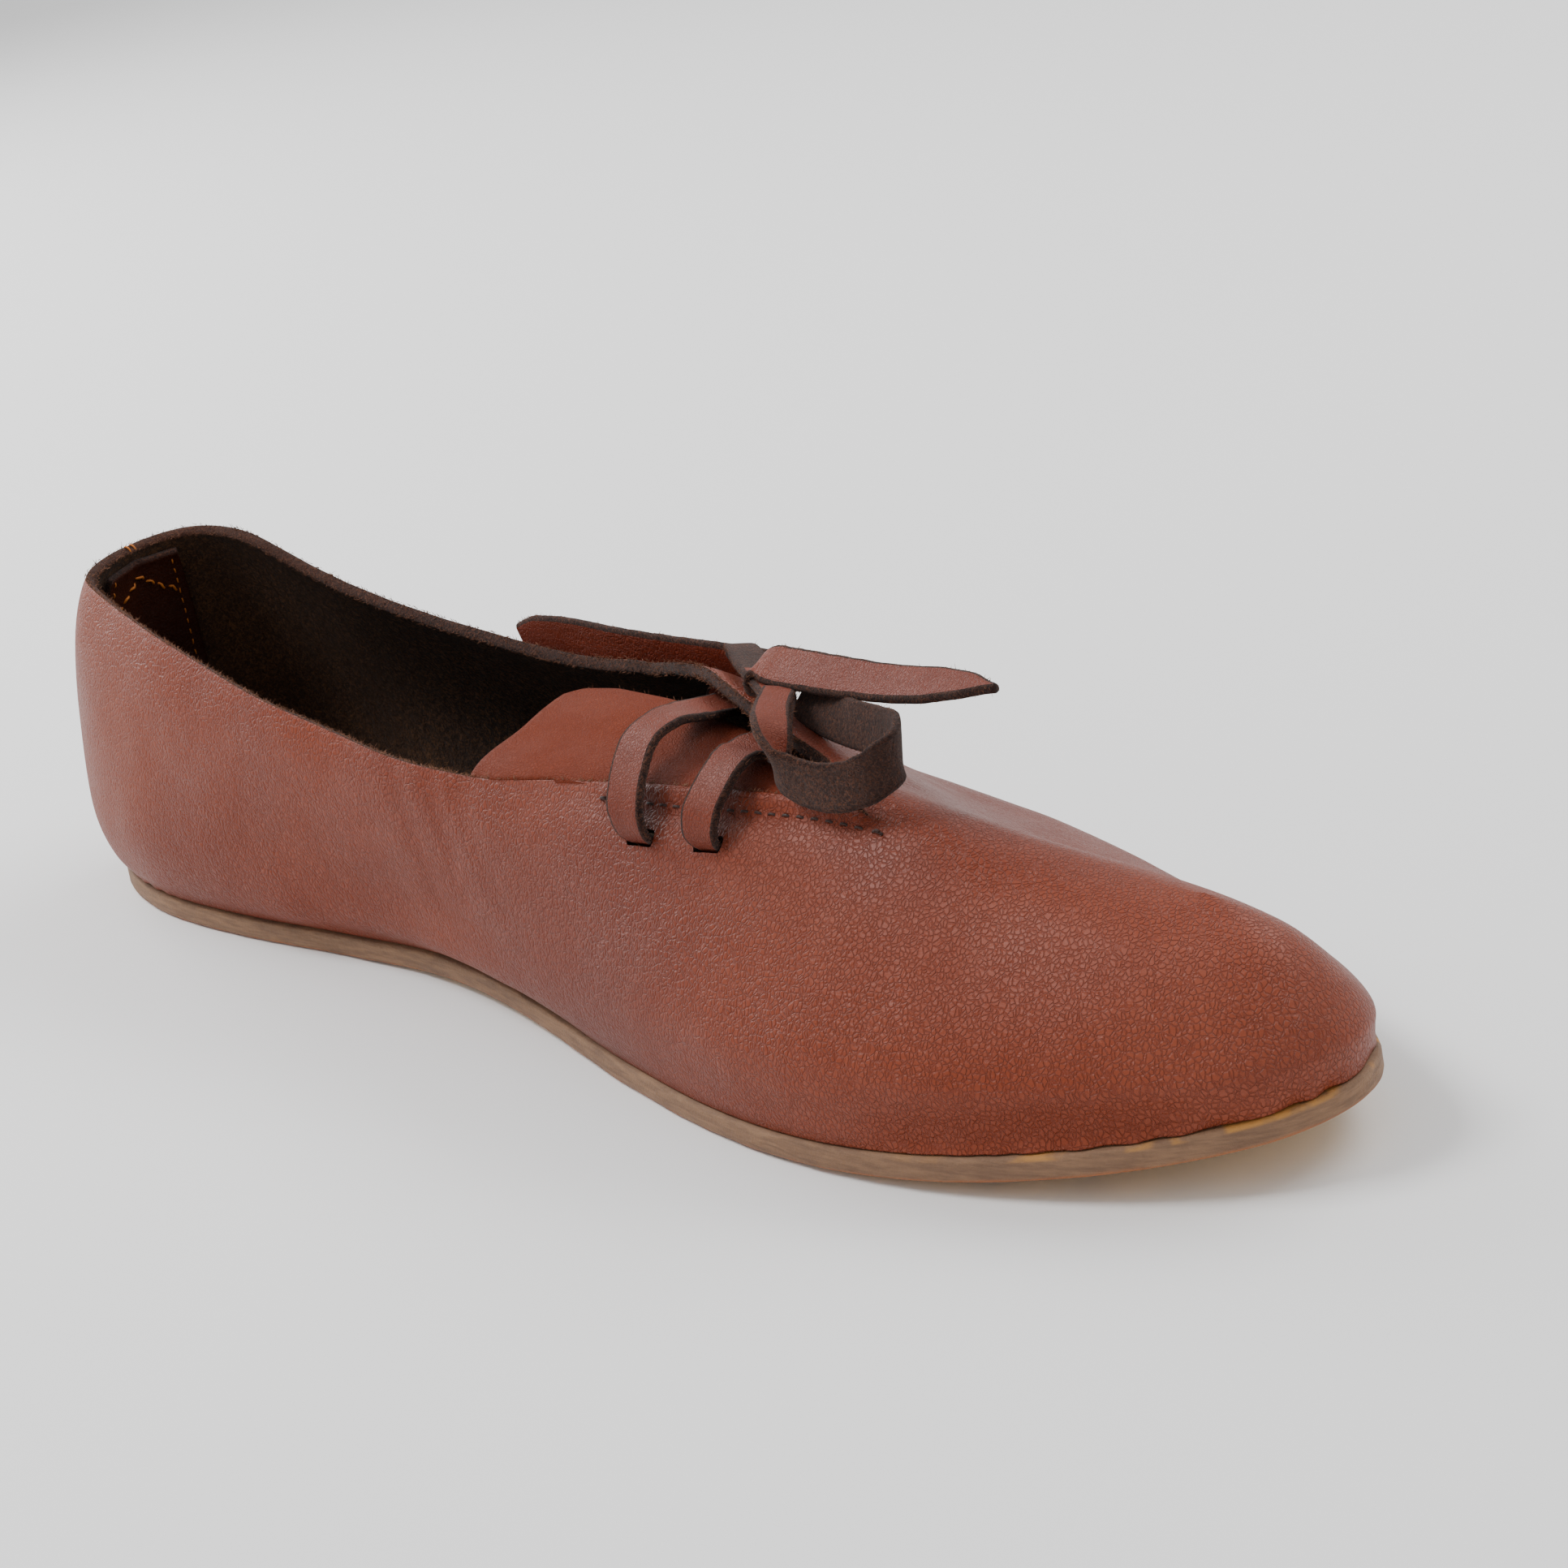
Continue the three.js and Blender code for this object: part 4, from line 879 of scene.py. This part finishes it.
def make_gusset():
    low_edge, seam, thickness = 2.86, 2.98, 1.6
    knots = [to_step(row[0]) for row in GUSSET]
    steps = np.linspace(knots[0], knots[-1], 110)
    front, back = [], []
    for step in steps:
        top = np.interp(step, knots, [row[1] for row in GUSSET])
        rounds = low_edge + (top - low_edge) * np.linspace(0, 1, 46)
        base, normals = last_points(step, rounds), last_normals(step, rounds)
        flush = np.clip((rounds - seam) / 0.55, 0, 1)
        flush = flush * flush * (3 - 2 * flush)
        rest = 0.12 if to_share(step) < 0.585 else 0.45
        low = np.where(rounds < seam, 2.6, rest + (WALL + LAYER_GAP - rest) * flush)
        ends = min(1, (step - steps[0]) / 0.02)
        depth = low + (1 - ends) * 0.4 - 0.3 * wavy(base, 14, 11.0)
        front.append(base - normals * depth[:, None])
        back.append(base - normals * (depth + thickness)[:, None])
        if step < steps[-1]:
            hair_seeds.append((front[-1][-1], np.array([0, 0, 1.0]), normals[-1], 0.5))
    points, faces, which = slab(front, back)
    tones = np.clip(0.25 * wavy(points, 18, 4.0), 0, 1)
    piece("gusset_leather", points, faces, which, [gusset_grain, inner_suede, cut_edge], "upper_leather",
          ["gusset"], tones)


make_gusset()

# Stitches


def spans_of(line):
    """How far along a line each of its points is."""
    return np.concatenate([[0], np.cumsum(np.linalg.norm(np.diff(line, axis=0), axis=1))])


def at_span(values, spans, where):
    return np.array([np.interp(where, spans, axis) for axis in values.T])


def stitch_row(line, normals, length, gap, radius, dip=0.5):
    """Short threads along a line, each bowed up off the leather and into it at both ends."""
    line, normals = np.asarray(line), np.asarray(normals)
    spans = spans_of(line)
    count, sides = 7, 8
    faces = grid_faces(count, sides, True)
    faces += [tuple(range(sides)), tuple(range(count * sides - 1, (count - 1) * sides - 1, -1))]
    parts, at = [], gap
    while at + length < spans[-1]:
        rings = []
        for k in range(count):
            u = k / (count - 1)
            s = at + length * u
            centre, normal = at_span(line, spans, s), unit(at_span(normals, spans, s))
            run = unit(at_span(line, spans, s + 0.1) - at_span(line, spans, s - 0.1))
            side = np.cross(run, normal)
            bow = radius * 1.1 * math.sin(math.pi * u) - dip * (1 - math.sin(math.pi * u)) ** 2
            sway = 0.12 * math.sin(len(parts) * 2.4) * (u - 0.5)
            rings.append([centre + normal * (bow + radius * math.sin(t))
                          + side * (radius * math.cos(t) + sway) for t in circle(sides)])
        parts.append((np.vstack(rings), faces, [0] * len(faces)))
        at += length + gap
    return parts


def surface_line(rows):
    """A line on the finished upper's outer face, with its normals."""
    points, normals = [], []
    for step, around in between(rows, 10, 1):
        outside, _, normal = leather(step, np.array([around]), -1)
        points.append(outside[0])
        normals.append(normal[0])
    return points, normals


seam_line, seam_normals = surface_line([(.588, 2.9), (.66, 2.885), (.72, 2.885), (.797, 2.92)])
seam_parts = stitch_row(seam_line, seam_normals, 1.9, 0.8, 0.2)
for end in (0, -1):
    centre, normal = np.array(seam_line[end]), np.array(seam_normals[end])
    for tangle in range(4):
        aim = np.array([math.cos(tangle * 1.9), 0.5 * math.sin(tangle * 1.9), 0.4 * math.sin(tangle * 2.7)])
        lifted = centre + normal * (0.25 + 0.12 * tangle)
        tail = [lifted + aim * share for share in np.linspace(-1.3, 1.1, 8)]
        seam_parts += stitch_row(tail, [normal] * 8, 2.1, 0.1, 0.24, 0.35)
piece("seam_stitches", *joined(seam_parts), [dark_thread], "upper_leather")

# Heel stay with its orange thread


def make_stay():
    half, low, high, thickness = 0.055, 1.25, 2.93, 1.1
    steps = np.linspace(-half, half, 34)
    rounds = np.linspace(low, high, 44)
    front, back = [], []
    for step in steps:
        base, normals = last_points(step, rounds), last_normals(step, rounds)
        depth = WALL + LAYER_GAP - 0.15 * wavy(base, 8, 21.0) - 0.5 * np.exp(-(step / 0.012) ** 2)
        front.append(base - normals * depth[:, None])
        back.append(base - normals * (depth + thickness)[:, None])
    points, faces, which = slab(front, back)
    piece("heel_stay_leather", points, faces, [kind // 2 for kind in which], [stay_grain, cut_edge],
          "upper_leather", ["heel_stay"])
    parts, inset, middle = [], 3, (len(steps) - 1) / 2
    for column in (inset, len(steps) - 1 - inset):
        parts += stitch_row(back[column], -last_normals(steps[column], rounds), 1.3, 0.8, 0.13, 0.3)
    across = range(inset, len(steps) - inset)
    top_line = [back[k][40 - round(5 * abs(k - middle) / middle)] for k in across]
    inward = [-last_normals(steps[k], [2.8])[0] for k in across]
    return parts + stitch_row(top_line, inward, 2.4, 0.5, 0.24, 0.3)


orange_parts = make_stay()
_, seam_out, seam_in, _, seam_up = edge_lines[-1][0]
for shift in (-0.5, 0.6):
    notch = [seam_out + (seam_in - seam_out) * k / 8 + np.array([0, shift + 0.05 * k, 0]) + seam_up * 0.2
             for k in range(-1, 10)]
    orange_parts += stitch_row(notch, [seam_up] * len(notch), 1.7, 0.2, 0.18, 0.25)
piece("heel_stitches", *joined(orange_parts), [orange_thread], "upper_leather")

# Outsole, nails and insole


def nail_places():
    samples = 720
    around = [2 * i / samples for i in range(samples)]
    loop = [rim_inset(a, -1, NAIL_INSET) if a < 1 else rim_inset(2 - a, 1, NAIL_INSET) for a in around]
    loop = np.array(loop + [loop[0]])
    spans = spans_of(loop)
    return at_span(loop, spans, (np.arange(NAILS) + 0.5) / NAILS * spans[-1]).T


def ring(x, y, radius):
    return [(x + radius * math.cos(t), y + radius * math.sin(t)) for t in circle(NAIL_SIDES)]


def make_outsole(places):
    steps = station_steps(150)
    loop = [(step, -1) for step in steps] + [(step, 1) for step in steps[1:-1][::-1]]
    levels = [(1.1, 0.0), (0.55, 0.1), (0.2, 0.38), (0.0, 0.85), (-0.06, 1.5), (-0.04, 2.3), (0.02, 3.0),
              (0.12, 3.45), (0.4, SOLE_THICKNESS)]
    rings, tones = [], []
    for inset, up in levels:
        level = []
        for step, side in loop:
            p = rim_inset(step, side, inset)
            uneven = 0.13 * noise_at(p[0] / 5, p[1] / 5, up) + 0.05 * noise_at(p[0], p[1], up * 2)
            p = rim_inset(step, side, inset - uneven * (up > 0))
            level.append((p[0], p[1], lift(p[0]) + up))
            tones.append(up / SOLE_THICKNESS)
        rings.append(level)
    count = len(loop)
    points = [p for level in rings for p in level]
    faces = grid_faces(len(levels), count, True)
    which = [1] * len(faces)
    top = (len(levels) - 1) * count
    for i in range(len(steps) - 1):
        corners = dict.fromkeys((i, i + 1, count - i - 1, (count - i) % count))
        faces.append([top + k for k in corners])
        which.append(1)
    flat = [Vector(p[:2]) for p in rings[0]]
    edges = [(i, (i + 1) % count) for i in range(count)]
    pocket, spread = NAIL_HEAD / 2 + 0.12, 3.6
    for x, y in places:
        start = len(flat)
        flat += map(Vector, ring(x, y, pocket))
        edges += [(start + i, start + (i + 1) % NAIL_SIDES) for i in range(NAIL_SIDES)]
    for x in np.arange(4, SOLE_LENGTH, spread):
        step = to_step(x / SOLE_LENGTH)
        low, high = rim(step, -1)[1] + 3.2, rim(step, 1)[1] - 3.2
        for y in np.arange(low, high, spread):
            if min((x - a) ** 2 + (y - b) ** 2 for a, b in places) > (pocket + 1.2) ** 2:
                flat.append(Vector((x, y)))
    spots, _, cells = delaunay_2d_cdt(flat, edges, [], 1, 1e-5)[:3]
    base = len(points)

    def to_nail(x, y):
        return np.min(np.hypot(places[:, 0] - x, places[:, 1] - y))

    for x, y in spots:
        points.append((x, y, float(lift(x))))
        sideways = abs(y - rim(to_step(min(1, max(0, x / SOLE_LENGTH))), -1 if y < 0 else 1)[1])
        reach = min(sideways, x + 2, SOLE_LENGTH + 2 - x)
        tones.append(max(0.0, 1 - reach / 4) * 0.8 + (0.5 if to_nail(x, y) < pocket + 0.1 else 0))
    for cell in cells:
        middle = sum((spots[k] for k in cell), Vector((0, 0))) / len(cell)
        if to_nail(*middle) > pocket * 0.97:
            faces.append(tuple(base + k for k in cell))
            which.append(0)
    for x, y in places:
        start = len(points)
        for radius, up in ((pocket, 0.0), (pocket - 0.02, 0.35), (pocket * 0.5, 0.37)):
            points += [(px, py, float(lift(px)) + up) for px, py in ring(x, y, radius)]
            tones += [0.6] * NAIL_SIDES
        faces += [tuple(start + k for k in face) for face in grid_faces(3, NAIL_SIDES, True)]
        faces.append(tuple(start + 2 * NAIL_SIDES + k for k in range(NAIL_SIDES)))
        which += [0] * (2 * NAIL_SIDES + 1)
    piece("outsole_leather", points, faces, which, [sole_honey, sole_edge], "sole_leather", ["outsole"],
          tones)


def make_nails(places):
    parts, head = [], NAIL_HEAD / 2
    rings = [(head * 0.93, 0.5), (head, 0.3), (head * 0.97, 0.17), (head * 0.86, 0.09), (head * 0.55, 0.05),
             (head * 0.2, 0.035)]
    start, tip = (len(rings) - 1) * NAIL_SIDES, len(rings) * NAIL_SIDES
    faces = grid_faces(len(rings), NAIL_SIDES, True)
    faces += [(start + k, start + (k + 1) % NAIL_SIDES, tip) for k in range(NAIL_SIDES)]
    faces.append(tuple(range(NAIL_SIDES)))
    for index, (x, y) in enumerate(places):
        slope = (lift(x + head) - lift(x - head)) / NAIL_HEAD
        points = []
        for k, (radius, up) in enumerate(rings):
            for t in circle(NAIL_SIDES):
                dent = 0.03 * noise_at(math.cos(t) + index, math.sin(t), k * 0.4) if k > 1 else 0
                px = radius * math.cos(t)
                points.append((x + px, y + radius * math.sin(t), float(lift(x)) + slope * px + up + dent))
        points.append((x, y, float(lift(x)) + 0.035))
        parts.append((np.array(points), faces, [0] * len(faces)))
    piece("nail_heads", *joined(parts), [nail_steel], "nail_steel",
          ["nail_%02d" % (k + 1) for k in range(NAILS)])


def make_insole():
    floor = SOLE_THICKNESS + FIT_GAP + WALL + FIT_GAP
    side_rows = [(0, 0), (0, 1.2), (0.3, 1.55)]

    def edge(step, side, inset):
        lean = max(0, -section_table.value(halves[side][0], halves[-side][0], step) * BALL)
        return rim_inset(step, side, FEATHER + WALL + 2 * FIT_GAP + lean + inset)

    def raised(p, up):
        return p[0], p[1], lift(p[0]) + floor + up

    points, steps = [], station_steps(90)
    for step in steps:
        points += [raised(edge(step, -1, inset), up) for inset, up in side_rows]
        a, b = edge(step, -1, 0.8), edge(step, 1, 0.8)
        for share in np.linspace(0, 1, 24):
            p = a + (b - a) * share
            dent = 0.35 * math.sin(math.pi * share) * math.exp(-((p[0] - 38) / 30) ** 2)
            points.append(raised(p, 1.6 - dent))
        points += [raised(edge(step, 1, inset), up) for inset, up in side_rows[::-1]]
    faces = grid_faces(len(steps), len(points) // len(steps), True)
    piece("insole_leather", points, faces, None, [insole_suede], "insole_leather", ["insole"])


sole_honey, sole_edge, nail_steel = sole_material(), sole_edge_material(), steel_material()
nails = nail_places()
make_outsole(nails)
make_nails(nails)
make_insole()

# Loose fibres along the cut edges


def make_fibres():
    rng = random.Random(7)
    for side in (-1, 1):
        for (at, outside, inside, normal, out), (_, other, *_) in pairwise(edge_lines[side]):
            if at > THROAT_END:
                continue
            for _ in range(int(np.linalg.norm(other - outside) / 0.22) + 1):
                share = rng.random()
                across = rng.choice((0.02, 0.98, rng.random()))
                place = outside * (1 - across) + inside * across
                place = place + (other - outside) * share + out * 0.05
                lean = normal if across < 0.5 else -normal
                hair_seeds.append((place, out, lean, 1.0))
    points, faces = [], []
    one = grid_faces(3, 3, True) + [(6, 7, 8), (2, 1, 0)]
    for place, out, lean, density in hair_seeds:
        for _ in range(2 if density > 0.9 else 1):
            if rng.random() > density:
                continue
            tangent = np.cross(out, lean)
            size = rng.uniform(0.2, 0.75) if rng.random() < 0.9 else rng.uniform(0.7, 1.2)
            width = rng.uniform(0.035, 0.07)
            aim = out * rng.uniform(0.35, 1) + lean * rng.uniform(-0.7, 0.7)
            aim = unit(aim + tangent * rng.uniform(-0.9, 0.9))
            bend = tangent * rng.uniform(-0.4, 0.4) + lean * rng.uniform(-0.3, 0.3)
            start = place + tangent * rng.uniform(-0.3, 0.3)
            start = start + lean * rng.uniform(-0.8, 0.8) * (density > 0.9) * 0.4
            wide = unit(np.cross(aim, lean))
            third = np.cross(wide, aim)
            faces += [tuple(len(points) + k for k in face) for face in one]
            for share, thick in ((-0.2, 1.0), (0.4, 0.8), (1.0, 0.15)):
                middle = start + aim * size * share + bend * size * share * share
                a, b = wide * width * thick, third * width * thick
                points += [middle + a, middle - a * 0.5 + b, middle - a * 0.5 - b]
    piece("edge_fibres", points, faces, None, [fibre_leather], "upper_leather")


n = Nodes("fibre")
fibre_leather = n.set(Base_Color=n.mix(n.noise(2500, 2), rgb(60, 37, 29), rgb(150, 106, 84)), Roughness=0.9,
                      Specular_IOR_Level=0.2)
make_fibres()

# Floor and light

FLOOR_REACH, FLOOR_UP = 150, -0.0001
floor_mesh = bpy.data.meshes.new("floor")
reach = (-FLOOR_REACH, FLOOR_REACH)
floor_mesh.from_pydata([(x, y, FLOOR_UP) for x in reach for y in reach], [], [(0, 2, 3, 1)])
floor = new_object("floor", floor_mesh)
n = Nodes("floor_pale")
pale = n.mix(n.noise(3, 2), (0.86, 0.86, 0.86, 1), (0.88, 0.88, 0.88, 1))
floor_mesh.materials.append(n.set(Base_Color=pale, Roughness=0.7, Specular_IOR_Level=0.2))

world = bpy.data.worlds.new("studio")
bpy.context.scene.world = world
world.use_nodes = True
sky = world.node_tree.nodes["Background"].inputs
sky["Color"].default_value = (1, 1, 1, 1)
sky["Strength"].default_value = 0.7

for name, place, target, size, power in (
        ("key", (-0.45, -0.5, 1.2), (0.1, 0, 0.02), (0.6, 0.5), 15),
        ("back", (0.35, 0.8, 0.9), (0.1, 0, 0.03), (1.2, 0.4), 8),
        ("left", (-0.9, 0.1, 0.5), (0, 0, 0.03), (0.5, 0.7), 6)):
    data = bpy.data.lights.new(name, "AREA")
    data.shape, data.size, data.size_y, data.energy = "RECTANGLE", *size, power
    light = new_object(name, data)
    light.location = place
    light.rotation_euler = (Vector(target) - Vector(place)).to_track_quat("-Z", "Y").to_euler()
